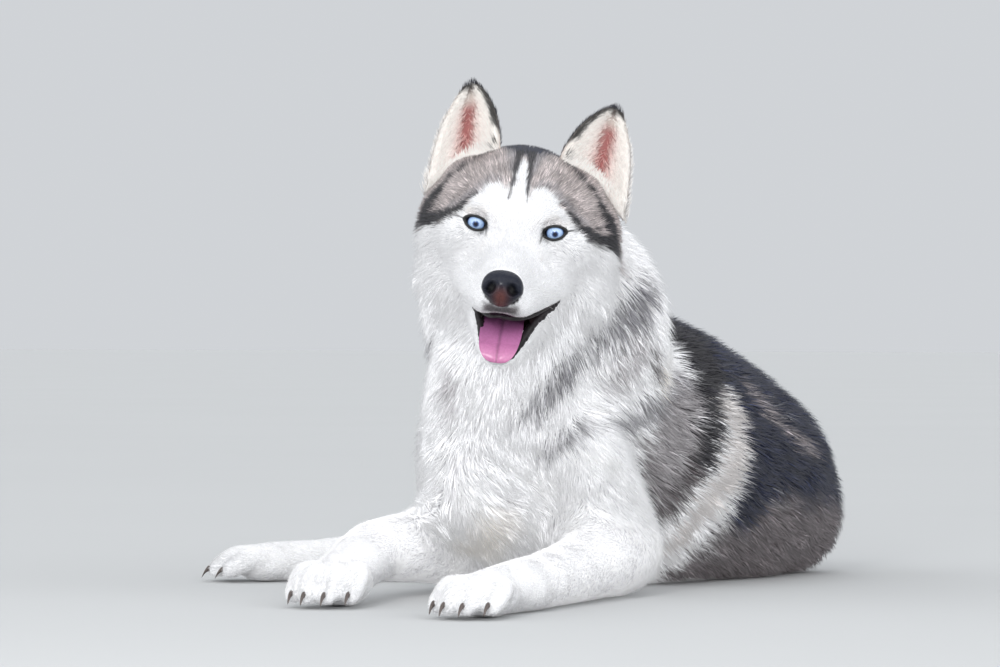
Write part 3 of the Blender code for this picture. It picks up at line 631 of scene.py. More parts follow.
@dataclass(frozen=True)
class FurFinish:
    """Hair that takes its colour from the markings on the mesh and glows faintly in it: a painted light that lifts the
    shade between tufts.
    """

    name: str
    roughness: float = 0.62
    sheen: float = 0.10
    mottle: float = 0.10
    painted_glow: float = 0.06

    def material(self) -> bpy.types.Material:
        """Make the material."""
        finish = Finish(self.name, self.roughness, Sheen_Weight=self.sheen, Specular_IOR_Level=0.25)
        fleck = 1.0 - self.mottle * finish.noise(420, 3.0)
        tone = finish.node("CombineColor", inputs={0: fleck, 1: fleck, 2: fleck})
        colour = finish.mix(1.0, finish.attribute(TINT).outputs["Color"], tone.outputs[0], "MULTIPLY")
        # Painted light: the hair glows in its own colour.
        finish.feed(finish.shader.inputs["Emission Color"], finish.attribute(TINT).outputs["Color"])
        finish.shader.inputs["Emission Strength"].default_value = self.painted_glow
        return finish.coloured(colour).material


@dataclass(frozen=True)
class SkinFinish:
    """Short fur lying flat: the markings' colour over fine streaks of bump."""

    name: str
    roughness: float = 0.75

    def material(self) -> bpy.types.Material:
        """Make the material."""
        finish = Finish(self.name, self.roughness, Sheen_Weight=0.1, Specular_IOR_Level=0.2)
        fine = finish.noise(900, 4.0)
        coarse = finish.noise(260, 3.0)
        fleck = 0.72 + 0.34 * fine
        tone = finish.node("CombineColor", inputs={0: fleck, 1: fleck, 2: fleck})
        colour = finish.mix(1.0, finish.attribute(TINT).outputs["Color"], tone.outputs[0], "MULTIPLY")
        return finish.coloured(colour).bumped(fine * 0.6 + coarse * 0.8, 0.0012).material


@dataclass(frozen=True)
class WetFinish:
    """Bare moist skin, such as the nose, the lips, the lids and the tongue."""

    name: str
    roughness: float
    coat: float
    grain: float
    depth: float
    cells: bool = False
    specular: float = 0.5

    def material(self) -> bpy.types.Material:
        """Make the material."""
        finish = Finish(self.name, self.roughness, Coat_Weight=self.coat, Coat_Roughness=0.18,
                        Specular_IOR_Level=self.specular)
        if self.cells:
            cells = finish.node("TexVoronoi", inputs={"Vector": finish.place(), "Scale": self.grain})
            grain = finish.signal(cells, "Distance")
        else:
            grain = finish.noise(self.grain, 3.0)
        shade = 0.78 + 0.4 * finish.noise(self.grain * 0.3, 2.0)
        tone = finish.node("CombineColor", inputs={0: shade, 1: shade, 2: shade})
        colour = finish.mix(1.0, finish.attribute(TINT).outputs["Color"], tone.outputs[0], "MULTIPLY")
        return finish.coloured(colour).rough(self.roughness * 0.8 + 0.25 * grain).bumped(grain, self.depth).material


@dataclass(frozen=True)
class EyeFinish:
    """A pale blue iris with a dark ring and a small pupil, under a clear wet cornea."""

    name: str = "eye_blue"

    def material(self) -> bpy.types.Material:
        """Make the material from the place across the iris that the mesh keeps."""
        finish = Finish(self.name, 0.3, Specular_IOR_Level=0.0, Coat_Weight=1.0, Coat_Roughness=0.03)
        spot = finish.attribute(SPOT)
        parts = finish.node("SeparateXYZ", inputs={0: spot.outputs["Vector"]})
        radius = finish.signal(parts, 0)
        rays = finish.node("TexNoise", {"noise_dimensions": "2D"}, {"Scale": 26.0, "Detail": 3.0})
        across = finish.node("CombineXYZ", inputs={0: finish.signal(parts, 1), 1: radius * 0.18})
        finish.feed(rays.inputs["Vector"], across.outputs[0])
        wobble = radius + 0.05 * (finish.signal(rays, 0) - 0.5)
        ramp = finish.node("ValToRGB", {"stops": (
            (0.00, (0.001, 0.002, 0.008)), (0.140, (0.003, 0.008, 0.034)), (0.215, (0.08, 0.14, 0.31)),
            (0.30, (0.40, 0.53, 0.74)), (0.53, (0.34, 0.48, 0.72)), (0.61, (0.17, 0.27, 0.50)),
            (0.675, (0.010, 0.014, 0.030)), (0.82, (0.012, 0.009, 0.012)))}, {0: wobble})
        streak = 0.75 + 0.5 * finish.signal(rays, 0)
        tone = finish.node("CombineColor", inputs={0: streak, 1: streak, 2: streak})
        return finish.coloured(finish.mix(1.0, ramp.outputs[0], tone.outputs[0], "MULTIPLY")).material


@dataclass(frozen=True)
class HornFinish:
    """Horn, as in the claws and the whiskers."""

    name: str
    dark: tuple[float, float, float]
    light: tuple[float, float, float]
    roughness: float = 0.35

    def material(self) -> bpy.types.Material:
        """Make the material."""
        finish = Finish(self.name, self.roughness)
        grain = finish.noise(700, 3.0)
        return finish.coloured(finish.mix(grain, self.dark, self.light)).bumped(grain, 0.0003).material


@dataclass(frozen=True)
class FloorFinish:
    """A plain pale studio floor."""

    name: str = "studio_floor"

    def material(self) -> bpy.types.Material:
        """Make the material."""
        finish = Finish(self.name, 0.9, Specular_IOR_Level=0.0)
        cloud = finish.noise(1.4, 3.0)
        return finish.coloured(finish.mix(cloud, (0.467, 0.474, 0.476), (0.484, 0.491, 0.493))).material


# Markings.


class Hue(Enum):
    """The colours of the coat, as light reflected, and how much single hairs differ."""

    WHITE = (0.92, 0.92, 0.935, 0.035)
    CREAM = (0.86, 0.82, 0.77, 0.05)
    PALE_GREY = (0.46, 0.44, 0.455, 0.22)
    GREY = (0.235, 0.23, 0.25, 0.30)
    TAN = (0.455, 0.405, 0.400, 0.36)
    ASH = (0.27, 0.25, 0.26, 0.25)
    STONE = (0.66, 0.63, 0.62, 0.08)
    UMBER = (0.150, 0.132, 0.138, 0.34)
    BROWN_GREY = (0.095, 0.082, 0.086, 0.40)
    DARK = (0.015, 0.014, 0.019, 0.45)
    NAVY = (0.012, 0.015, 0.034, 0.50)
    SHADOW = (0.60, 0.55, 0.52, 0.06)


@dataclass(frozen=True)
class Stroke:
    """One mark of the coat: a band along a path with a radius at each station."""

    hue: Hue
    path: tuple[Station, ...]
    soft: float = 0.004
    ragged: float = 0.003
    strength: float = 1.0
    sides: int = 0

    def amount(self, points: Array, middle: Array) -> Array:
        """Say how much of the mark lies at each place.

        Args:
            points: Places in the stroke's frame.
            middle: Where the dog's midline is at each place.

        Returns:
            Values from 0 to 1.
        """
        spots = points.copy()
        if self.sides == 0:
            spots[:, 0] = middle + np.abs(points[:, 0] - middle)
        table = np.array(self.path, float)
        far = np.full(len(points), 9.0)
        for a, b in zip(table[:-1], table[1:]):
            run = b[:3] - a[:3]
            t = np.clip((spots - a[:3]) @ run / max(run @ run, 1e-12), 0, 1)
            gap = np.linalg.norm(spots - a[:3] - t[:, None] * run, axis=1) - (a[3] + (b[3] - a[3]) * t)
            far = np.minimum(far, gap)
        far = far + self.ragged * waves(points, 0.011, 5) + 0.5 * self.ragged * waves(points, 0.0045, 6)
        return self.strength * (1 - smoothstep(-self.soft, self.soft, far))


@dataclass(frozen=True)
class Patch:
    """One mark of the coat: a field with a ragged outline, the same on both sides."""

    hue: Hue
    outline: tuple[tuple[float, float], ...]
    soft: float = 0.003
    ragged: float = 0.003
    strength: float = 1.0

    def amount(self, points: Array, middle: Array) -> Array:
        """Say how much of the mark lies at each place.

        Args:
            points: Places on the head's flat chart.
            middle: Not used, as the chart is centred on the head.

        Returns:
            Values from 0 to 1.
        """
        x, y = np.abs(points[:, 0]), points[:, 1]
        corners = np.array(self.outline, float)
        far = np.full(len(points), 9.0)
        inside = np.zeros(len(points), bool)
        for (ax, ay), (bx, by) in zip(corners, np.roll(corners, -1, axis=0)):
            t = np.clip(((x - ax) * (bx - ax) + (y - ay) * (by - ay)) / ((bx - ax) ** 2 + (by - ay) ** 2), 0, 1)
            far = np.minimum(far, np.hypot(x - ax - t * (bx - ax), y - ay - t * (by - ay)))
            crossing = ((ay > y) != (by > y)) & (x < (bx - ax) * (y - ay) / (by - ay + 1e-12) + ax)
            inside ^= crossing
        far = np.where(inside, -far, far)
        far = far + self.ragged * waves(points, 0.011, 7) + 0.6 * self.ragged * waves(points, 0.004, 8)
        return self.strength * (1 - smoothstep(-self.soft, self.soft, far))


CAP_MARKS = (
    Patch(Hue.TAN, ((-0.02, -0.190), (0.150, -0.150), (0.150, -0.040), (0.132, -0.004), (0.120, 0.002), (0.112, 0.008),
                    (0.104, 0.015), (0.093, 0.029), (0.080, 0.031), (0.068, 0.026), (0.056, 0.022), (0.047, 0.017),
                    (0.042, 0.008), (0.033, 0.003), (0.024, 0.003), (0.016, 0.009), (0.010, 0.011), (0.008, -0.003),
                    (0.006, -0.020), (0.0, -0.032), (-0.02, -0.032)), 0.0022, 0.0012),
    Stroke(Hue.GREY, ((0.010, 0.004, 0, 0.002), (0.018, 0.001, 0, 0.004), (0.033, -0.004, 0, 0.004),
                      (0.046, 0.006, 0, 0.006), (0.058, 0.012, 0, 0.007), (0.076, 0.016, 0, 0.008)), 0.007, 0.002,
           0.65),
    Stroke(Hue.GREY, ((0.011, -0.012, 0, 0.003), (0.012, -0.034, 0, 0.005), (0.014, -0.052, 0, 0.008)), 0.005, 0.002,
           0.75),
    Patch(Hue.NAVY, ((-0.02, -0.190), (0.150, -0.150), (0.120, -0.070), (0.070, -0.064), (0.050, -0.070), (0.034, -0.066),
                     (0.022, -0.055), (0.013, -0.047), (0.007, -0.042), (0.0, -0.036), (-0.02, -0.036)), 0.005, 0.003),
    Stroke(Hue.DARK, ((0.046, 0.014, 0, 0.0006), (0.054, 0.018, 0, 0.0018), (0.064, 0.020, 0, 0.0040),
                      (0.075, 0.024, 0, 0.0064), (0.085, 0.025, 0, 0.0074), (0.099, 0.016, 0, 0.0080),
                      (0.110, 0.005, 0, 0.0080), (0.121, -0.003, 0, 0.0065), (0.137, -0.012, 0, 0.0040)), 0.0030,
           0.0024),
    Stroke(Hue.DARK, ((0.036, -0.064, 0, 0.0050), (0.050, -0.055, 0, 0.0032), (0.058, -0.041, 0, 0.0024),
                      (0.068, -0.030, 0, 0.0022), (0.077, -0.026, 0, 0.0024), (0.085, -0.022, 0, 0.0034),
                      (0.097, -0.019, 0, 0.0055), (0.106, -0.013, 0, 0.0068), (0.114, -0.005, 0, 0.0068),
                      (0.124, -0.006, 0, 0.0050)), 0.0024, 0.0014),
    Stroke(Hue.TAN, ((0.0150, -0.006, 0, 0.0050), (0.0132, 0.006, 0, 0.0034), (0.0118, 0.019, 0, 0.0014)), 0.0030, 0.0010,
           0.7),
    Stroke(Hue.DARK, ((0.0102, 0.025, 0, 0.0005), (0.0092, 0.013, 0, 0.0013), (0.0078, -0.003, 0, 0.0021),
                      (0.0068, -0.022, 0, 0.0030), (0.0062, -0.043, 0, 0.0050)), 0.0016, 0.0007, 0.95),
    Stroke(Hue.DARK, ((0.0240, -0.001, 0, 0.0012), (0.0340, -0.002, 0, 0.0012)), 0.0040, 0.0012, 0.35),
    # Painted shade along the crease over the upper lid.
    Stroke(Hue.TAN, ((0.0390, 0.0410, 0, 0.0016), (0.0470, 0.0355, 0, 0.0018), (0.0579, 0.0335, 0, 0.0016)), 0.0035, 0.0008,
           0.35),
    Stroke(Hue.DARK, ((0.0600, 0.0408, 0, 0.0022), (0.0660, 0.0370, 0, 0.0013), (0.0715, 0.0330, 0, 0.0005)), 0.0012,
           0.0003, 0.9),
    Stroke(Hue.DARK, ((0.0410, 0.0540, 0, 0.0022), (0.0370, 0.0595, 0, 0.0013), (0.0335, 0.0645, 0, 0.0005)), 0.0012,
           0.0003, 0.85),
)
FACE_MARKS = (
    Stroke(Hue.DARK, ((0.0455, -0.0055, 0.0021, 0.0018), (0.0434, -0.0068, 0.0052, 0.0013),
                      (0.0387, -0.0085, 0.0075, 0.0011), (0.0330, -0.0091, 0.0077, 0.0011),
                      (0.0277, -0.0085, 0.0054, 0.0011), (0.0243, -0.0068, 0.0015, 0.0013),
                      (0.0235, -0.0055, -0.0021, 0.0018), (0.0256, -0.0068, -0.0052, 0.0013),
                      (0.0303, -0.0085, -0.0075, 0.0011), (0.0360, -0.0091, -0.0077, 0.0011),
                      (0.0413, -0.0085, -0.0054, 0.0011), (0.0447, -0.0068, -0.0015, 0.0013),
                      (0.0455, -0.0055, 0.0021, 0.0018)), 0.0009, 0.0002),
    # Painted shade by the inner corner of each eye, up towards the brow.
    Stroke(Hue.TAN, ((0.0160, -0.0190, 0.0010, 0.0012), (0.0200, -0.0140, 0.0080, 0.0012)), 0.0035, 0.0008, 0.35),
    Stroke(Hue.SHADOW, ((0.0215, -0.0180, -0.0090, 0.0025), (0.0240, -0.0220, -0.0200, 0.0025)), 0.005, 0.001, 0.55),
    Stroke(Hue.DARK, ((0.0436, -0.0066, 0.0022, 0.0016), (0.0470, -0.0036, 0.0032, 0.0010),
                      (0.0505, 0.0002, 0.0040, 0.0004)), 0.0010, 0.0002, 0.9),
    Stroke(Hue.DARK, ((0.0256, -0.0086, -0.0026, 0.0016), (0.0230, -0.0115, -0.0052, 0.0010),
                      (0.0212, -0.0140, -0.0075, 0.0004)), 0.0012, 0.0002, 0.9),
    # Painted shade in the crease over the upper lid, with a softer band of it higher up.
    Stroke(Hue.TAN, ((0.0270, -0.0105, 0.0085, 0.0012), (0.0345, -0.0100, 0.0105, 0.0012),
                     (0.0430, -0.0062, 0.0080, 0.0012)), 0.0030, 0.0005, 0.35),
    Stroke(Hue.CREAM, ((0.030, -0.013, 0.0125, 0.0014), (0.039, -0.010, 0.0125, 0.0014), (0.046, -0.005, 0.0090, 0.0014)),
           0.004, 0.001, 0.7),
    Stroke(Hue.BROWN_GREY, ((0, -0.087, -0.0620, 0.0080), (0.0100, -0.083, -0.0615, 0.0072)), 0.0035, 0.0008, 0.94),
    Stroke(Hue.DARK, ((0, -0.088, -0.0630, 0.0050), (0.0110, -0.083, -0.0640, 0.0036)), 0.0035, 0.0008, 0.6),
)
NECK_MARKS = (
    Stroke(Hue.NAVY, ((0.024, 0.030, 0.330, 0.046), (0.018, 0.080, 0.285, 0.055)), 0.010, 0.006),
    Stroke(Hue.GREY, ((0.128, 0.020, 0.292, 0.016), (0.130, 0.000, 0.264, 0.020), (0.122, -0.034, 0.240, 0.019),
                      (0.106, -0.055, 0.220, 0.0165), (0.094, -0.082, 0.199, 0.0135), (0.084, -0.105, 0.177, 0.009),
                      (0.074, -0.120, 0.162, 0.006)), 0.009, 0.005),
    Stroke(Hue.CREAM, ((0.062, 0.125, 0.262, 0.007), (0.085, 0.098, 0.232, 0.010), (0.098, 0.072, 0.206, 0.010),
                       (0.103, 0.048, 0.190, 0.010)), 0.005, 0.003, 0.9),
    Stroke(Hue.PALE_GREY, ((0.121, -0.004, 0.222, 0.012), (0.112, -0.008, 0.204, 0.012), (0.102, -0.030, 0.190, 0.010)),
           0.009, 0.005, 0.85),
    Stroke(Hue.BROWN_GREY, ((0.118, 0.016, 0.226, 0.0040), (0.113, 0.028, 0.206, 0.0065), (0.106, 0.046, 0.193, 0.0060)),
           0.005, 0.003, 0.9),
)
BODY_MARKS = (
    Stroke(Hue.NAVY, ((0.020, 0.020, 0.330, 0.050), (0.010, 0.085, 0.280, 0.062), (0.0, 0.150, 0.250, 0.080),
                      (0.0, 0.230, 0.215, 0.100), (0.0, 0.310, 0.175, 0.110), (0.0, 0.370, 0.130, 0.100)),
           0.008, 0.006),
    Stroke(Hue.NAVY, ((0.080, 0.215, 0.165, 0.050), (0.080, 0.250, 0.120, 0.055), (0.075, 0.300, 0.105, 0.070),
                      (0.060, 0.360, 0.095, 0.070)), 0.010, 0.006),
    Stroke(Hue.UMBER, ((0.095, 0.165, 0.018, 0.022), (0.098, 0.215, 0.030, 0.034), (0.100, 0.270, 0.036, 0.038),
                            (0.095, 0.330, 0.038, 0.036), (0.060, 0.400, 0.040, 0.034)), 0.014, 0.006),
    Stroke(Hue.NAVY, ((0.030, 0.400, 0.080, 0.045), (0.028, 0.420, 0.070, 0.045)), 0.012, 0.005),
    Stroke(Hue.UMBER, ((0.055, 0.170, 0.004, 0.030), (0.070, 0.230, 0.004, 0.042), (0.070, 0.300, 0.004, 0.046),
                            (0.050, 0.370, 0.010, 0.046)), 0.010, 0.005, 1.0, 1),
    Stroke(Hue.UMBER, ((0.090, 0.160, 0.020, 0.022), (0.097, 0.186, 0.042, 0.022), (0.103, 0.215, 0.056, 0.024),
                       (0.103, 0.260, 0.060, 0.024)), 0.014, 0.005),
    Stroke(Hue.NAVY, ((0.070, 0.165, 0.225, 0.030), (0.088, 0.178, 0.200, 0.022), (0.097, 0.197, 0.182, 0.020),
                      (0.104, 0.206, 0.160, 0.023), (0.107, 0.212, 0.130, 0.027), (0.105, 0.215, 0.100, 0.032),
                      (0.100, 0.203, 0.075, 0.026)), 0.008, 0.005),
    Stroke(Hue.ASH, ((0.100, 0.108, 0.176, 0.026), (0.100, 0.075, 0.145, 0.036), (0.099, 0.062, 0.118, 0.030),
                     (0.099, 0.074, 0.096, 0.022)), 0.012, 0.005, 0.9),
    Stroke(Hue.BROWN_GREY, ((0.103, 0.004, 0.150, 0.003), (0.101, 0.030, 0.130, 0.006), (0.098, 0.048, 0.102, 0.009),
                            (0.094, 0.060, 0.074, 0.010), (0.090, 0.066, 0.046, 0.010)), 0.009, 0.004, 0.7),
    Stroke(Hue.BROWN_GREY, ((0.112, 0.122, 0.135, 0.019), (0.104, 0.106, 0.108, 0.018), (0.096, 0.084, 0.082, 0.015),
                            (0.092, 0.068, 0.060, 0.011)), 0.009, 0.005),
    Stroke(Hue.DARK, ((0.050, 0.120, 0.262, 0.028), (0.070, 0.153, 0.232, 0.034), (0.090, 0.149, 0.203, 0.029),
                      (0.100, 0.142, 0.176, 0.022), (0.106, 0.135, 0.148, 0.018), (0.106, 0.122, 0.124, 0.014)), 0.007, 0.006),
    Stroke(Hue.STONE, ((0.101, 0.168, 0.178, 0.0085), (0.107, 0.174, 0.155, 0.0125), (0.110, 0.174, 0.132, 0.0150),
                       (0.109, 0.165, 0.108, 0.016), (0.103, 0.146, 0.086, 0.0155), (0.091, 0.125, 0.063, 0.0145),
                       (0.080, 0.112, 0.036, 0.0135)), 0.006, 0.003),
    Stroke(Hue.GREY, ((0.096, 0.110, 0.200, 0.008), (0.103, 0.060, 0.176, 0.0105), (0.104, 0.013, 0.159, 0.0115),
                      (0.103, -0.036, 0.146, 0.0100), (0.088, -0.067, 0.139, 0.0085), (0.072, -0.083, 0.128, 0.006)),
           0.009, 0.004, 0.85),
    Stroke(Hue.TAN, ((0.091, 0.208, 0.192, 0.0030), (0.098, 0.233, 0.170, 0.0050), (0.102, 0.252, 0.149, 0.0048),
                     (0.104, 0.289, 0.134, 0.0050), (0.103, 0.318, 0.125, 0.0040)), 0.006, 0.005, 0.65),
    Stroke(Hue.PALE_GREY, ((0.006, -0.143, 0.197, 0.008), (0.004, -0.142, 0.181, 0.009), (0.002, -0.144, 0.164, 0.007)),
           0.006, 0.003, 0.8, 1),
    Stroke(Hue.CREAM, ((0.028, -0.099, 0.061, 0.020), (-0.017, -0.071, 0.038, 0.020)), 0.014, 0.003, 0.7, 1),
)
TAIL_MARKS = (
    Stroke(Hue.NAVY, ((0.026, 0.380, 0.120, 0.045), (-0.006, 0.440, 0.095, 0.040), (-0.062, 0.490, 0.080, 0.038),
                      (-0.145, 0.505, 0.078, 0.038), (-0.215, 0.480, 0.070, 0.034)), 0.012, 0.006, 0.95, 1),
)
LEG_MARKS = (
    Stroke(Hue.BROWN_GREY, ((-0.050, 0.320, 0.060, 0.062), (-0.112, 0.235, 0.070, 0.050), (-0.152, 0.190, 0.066, 0.030)),
           0.016, 0.006, 0.9, 1),
    Stroke(Hue.NAVY, ((-0.030, 0.310, 0.160, 0.062), (-0.098, 0.215, 0.150, 0.056), (-0.132, 0.180, 0.120, 0.040)),
           0.014, 0.006, 0.95, 1),
)


class Markings:
    """The colour of the coat at any place."""

    HEAD_MIDDLE = np.array([0, 0.035, -0.005])
    HEAD_RADIUS = 0.070
    FOREHEAD = np.array([0, -0.6, 0.8])
    BACKWARD = np.array([0, 0.8, 0.6])

    def midline(self, points: Array) -> Array:
        """Give how far left the dog's middle lies at each place."""
        return np.clip((points[:, 2] - 0.16) * 0.20, 0, 0.04) * (points[:, 1] < 0.10)

    def colours(self, points: Array, on_head: Array, on_torso: Array, on_tail: Array,
                on_hind: Array) -> tuple[Array, Array]:
        """Work out the colours at places on the dog.

        Args:
            points: The places.
            on_head: How much each belongs to the head, from 0 to 1.
            on_torso: How much each belongs to the trunk or the neck.
            on_tail: How much each belongs to the tail.
            on_hind: How much each belongs to a hind leg.

        Returns:
            The colours, and how much single hairs differ there.
        """
        base = np.tile(np.array(Hue.WHITE.value, float), (len(points), 1))
        middle = self.midline(points)
        for stroke in BODY_MARKS:
            self.lay(base, stroke, points, middle, on_torso)
        for stroke in TAIL_MARKS:
            self.lay(base, stroke, points, middle * 0, on_tail)
        for stroke in LEG_MARKS:
            self.lay(base, stroke, points, middle * 0, np.clip(on_hind + on_torso * (points[:, 0] < -0.03), 0, 1))
        near = carried(points, HEAD_FRAME.inverted())
        rear = np.clip(on_torso + on_head * smoothstep(0.035, 0.060, near[:, 1]), 0, 1)
        for stroke in NECK_MARKS:
            self.lay(base, stroke, points, middle, rear)
        chart = self.chart(near)
        for mark in CAP_MARKS:
            self.lay(base, mark, chart, middle * 0, on_head)
        for mark in FACE_MARKS:
            self.lay(base, mark, near, middle * 0, on_head)
        # Painted shade: the head's colours are darkened by a tenth, as its short hair shades itself less than the long
        # coat does.
        base[:, :3] *= 1 - 0.10 * on_head[:, None]
        drift = 1 + 0.03 * waves(points, 0.05, 31)
        dusk = (1 - smoothstep(0.25, 0.75, base[:, 1])) * (0.16 * waves(points, 0.019, 33) + 0.12 * waves(points, 0.008, 34))
        drift = drift * np.exp(dusk)
        return base[:, :3] * drift[:, None], base[:, 3]

    def chart(self, near: Array) -> Array:
        """Lay the head out flat round the forehead.

        Args:
            near: Places in the head's frame.

        Returns:
            How far left and how far down each lies from the forehead's middle, and a column of noughts.
        """
        ways = unit(near - self.HEAD_MIDDLE)
        angle = np.arccos(np.clip(ways @ self.FOREHEAD, -1, 1))
        flat = np.stack([ways[:, 0], -(ways @ self.BACKWARD)], axis=1)
        flat = unit(flat) * angle[:, None] * self.HEAD_RADIUS
        return np.column_stack([flat, np.zeros(len(near))])

    def lay(self, base: Array, stroke: Stroke | Patch, points: Array, middle: Array, share: Array) -> None:
        """Lay one stroke over the colours so far."""
        amount = (stroke.amount(points, middle) * share)[:, None]
        base += (np.array(stroke.hue.value) - base) * amount


# The lie of the coat.


@dataclass(frozen=True)
class Pelt:
    """How long, thick and dense the coat is along one length of the body."""

    depth: float
    length: float
    width: float
    layers: float
    droop: float = 0.35
    loft: float = 0.0


@dataclass(frozen=True)
class Bone:
    """A length of the body with its coat. The hair lies from its first station to its last."""

    part: str
    stations: tuple[Station, ...]
    pelt: Pelt
    place: Matrix = Matrix.Identity(4)

    def near(self, points: Array) -> tuple[Array, Array, Array, Array]:
        """Find where along the bone each place is.

        Args:
            points: The places.

        Returns:
            The distance over the bone's radius, the way along it, how far along from 0 to 1, and the angle round it.
        """
        table = np.array([(*s[:3], (s[3] + s[-1]) / 2) for s in self.stations], float)
        table[:, :3] = carried(table[:, :3], self.place)
        best = np.full(len(points), 99.0)
        ways = np.zeros((len(points), 3))
        along = np.zeros(len(points))
        offset = np.zeros((len(points), 3))
        for i, (a, b) in enumerate(zip(table[:-1], table[1:])):
            run = b[:3] - a[:3]
            t = np.clip((points - a[:3]) @ run / (run @ run), 0, 1)
            away = points - a[:3] - t[:, None] * run
            ratio = np.linalg.norm(away, axis=1) / (a[3] + (b[3] - a[3]) * t)
            closer = ratio < best
            best[closer] = ratio[closer]
            ways[closer] = run / np.linalg.norm(run)
            along[closer] = ((i + t) / (len(table) - 1))[closer]
            offset[closer] = away[closer]
        side, up = square_to(ways)
        angle = np.arctan2((offset * up).sum(1), (offset * side).sum(1)) / (2 * math.pi) + 0.5
        return best, ways, along, angle


def mirrored(stations: Sequence[Station], side: int) -> tuple[Station, ...]:
    """Put stations on the left for 1 or on the right for -1."""
    return tuple((side * s[0], *s[1:]) for s in stations)


TRUNK_PELT = Pelt(0.0105, 0.027, 0.0016, 4.8, 0.35, 0.0025)
RUFF_PELT = Pelt(0.0125, 0.034, 0.0016, 5.2, 0.35, 0.0070)
CHEST_PELT = Pelt(0.0120, 0.036, 0.0016, 5.2, 0.6, 0.0035)
FACE_PELT = Pelt(0.0020, 0.0080, 0.00072, 3.4, 0.0)
SKULL_PELT = Pelt(0.0030, 0.0110, 0.0010, 4.0, 0.0)
MUZZLE_PELT = Pelt(0.0012, 0.0060, 0.00062, 3.0, 0.0)
CHEEK_PELT = Pelt(0.0050, 0.0150, 0.0011, 4.6, 0.25, 0.001)
JOWL_PELT = Pelt(0.0080, 0.0270, 0.0015, 5.4, 0.25, 0.006)
JAW_PELT = Pelt(0.0026, 0.0110, 0.0010, 3.8, 0.0)
THIGH_PELT = Pelt(0.0090, 0.024, 0.0017, 5.0, 0.35, 0.002)
ARM_PELT = Pelt(0.0070, 0.019, 0.0015, 4.8, 0.35, 0.001)
SHANK_PELT = Pelt(0.0028, 0.0125, 0.0012, 4.1, 0.1)
FOOT_PELT = Pelt(0.0018, 0.0085, 0.0010, 3.3, 0.0)
BRUSH_PELT = Pelt(0.0140, 0.042, 0.0024, 5.4, 0.1, 0.007)


def body_bones() -> list[Bone]:
    """List every length of the body with its coat."""
    bones = [
        Bone("torso", TORSO, TRUNK_PELT),
        Bone("neck", NECK[::-1], RUFF_PELT),
        Bone("neck", THROAT, CHEST_PELT),
        Bone("tail", TAIL, BRUSH_PELT),
        Bone("head", ((0, -0.080, -0.046, 0.021), (0, -0.050, -0.036, 0.024), (0, -0.022, -0.024, 0.029)), MUZZLE_PELT,
             HEAD_FRAME),
        Bone("head", ((0, -0.022, -0.020, 0.030), (0, 0.004, 0.004, 0.032), (0, 0.030, 0.014, 0.040)), FACE_PELT,
             HEAD_FRAME),
        Bone("head", ((0, 0.030, 0.014, 0.042), (0, 0.060, 0.012, 0.052), (0, 0.090, 0.000, 0.055)), SKULL_PELT,
             HEAD_FRAME),
        Bone("head", JAW[::-1], JAW_PELT, HEAD_FRAME),
    ]
    for side in (1, -1):
        bones.append(Bone("head", mirrored(LIP[::-1], side), MUZZLE_PELT, HEAD_FRAME))
        bones.append(Bone("head", mirrored(((0.030, 0.002, 0.004, 0.020), (0.042, 0.020, 0.000, 0.030),
                                            (0.052, 0.050, 0.000, 0.036)), side), FACE_PELT, HEAD_FRAME))
        bones.append(Bone("head", mirrored(((0.034, 0.006, -0.022, 0.022), (0.048, 0.036, -0.030, 0.038)), side),
                          CHEEK_PELT, HEAD_FRAME))
        bones.append(Bone("head", mirrored(((0.050, 0.044, -0.036, 0.040), (0.058, 0.070, -0.060, 0.044)), side),
                          JOWL_PELT, HEAD_FRAME))
    for leg, upper in zip(LEGS, (ARM_PELT, ARM_PELT, THIGH_PELT, THIGH_PELT)):
        part = "foreleg" if upper is ARM_PELT else "hindleg"
        bones.append(Bone(part, leg[:2], upper))
        bones.append(Bone(part, leg[1:], SHANK_PELT))
    for foot in FEET:
        toe = foot.length - 0.012
        bones.append(Bone("foot", ((0, 0.004, 0.022, 0.024), (0, -toe * 0.5, 0.021, 0.026), (0, -toe, 0.016, 0.026)),
                          FOOT_PELT, foot.matrix()))
    return bones


@dataclass
class Lie:
    """What the coat is like at many places: its measures, its way and which part each belongs to."""

    depth: Array
    length: Array
    width: Array
    layers: Array
    loft: Array
    way: Array
    share: dict[str, Array]


class CoatPlan:
    """Blends the coat of all the bones over the body."""

    SHARPNESS = 6.5
    PARTS = ("head", "neck", "torso", "foreleg", "hindleg", "foot", "tail")

    def __init__(self) -> None:
        """Gather the bones."""
        self.bones = body_bones()

    def at(self, points: Array) -> Lie:
        """Blend the bones at each place.

        Args:
            points: The places.

        Returns:
            The coat there.
        """
        ratios, ways = [], []
        for bone in self.bones:
            ratio, way, _, _ = bone.near(points)
            ratios.append(ratio)
            ways.append(way + np.array([0, 0, -bone.pelt.droop]))
        ratios = np.array(ratios)
        weights = np.exp(-self.SHARPNESS * (ratios - ratios.min(axis=0)))
        weights /= weights.sum(axis=0)
        pelts = np.array([(b.pelt.depth, b.pelt.length, b.pelt.width, b.pelt.layers, b.pelt.loft)
                          for b in self.bones])
        depth, length, width, layers, loft = np.einsum("bn,bk->kn", weights, pelts)
        share = {part: sum(w for w, b in zip(weights, self.bones) if b.part == part) for part in self.PARTS}
        return Lie(depth, length, width, layers, loft, unit(np.einsum("bn,bnk->nk", weights, np.array(ways))), share)


# The skin.


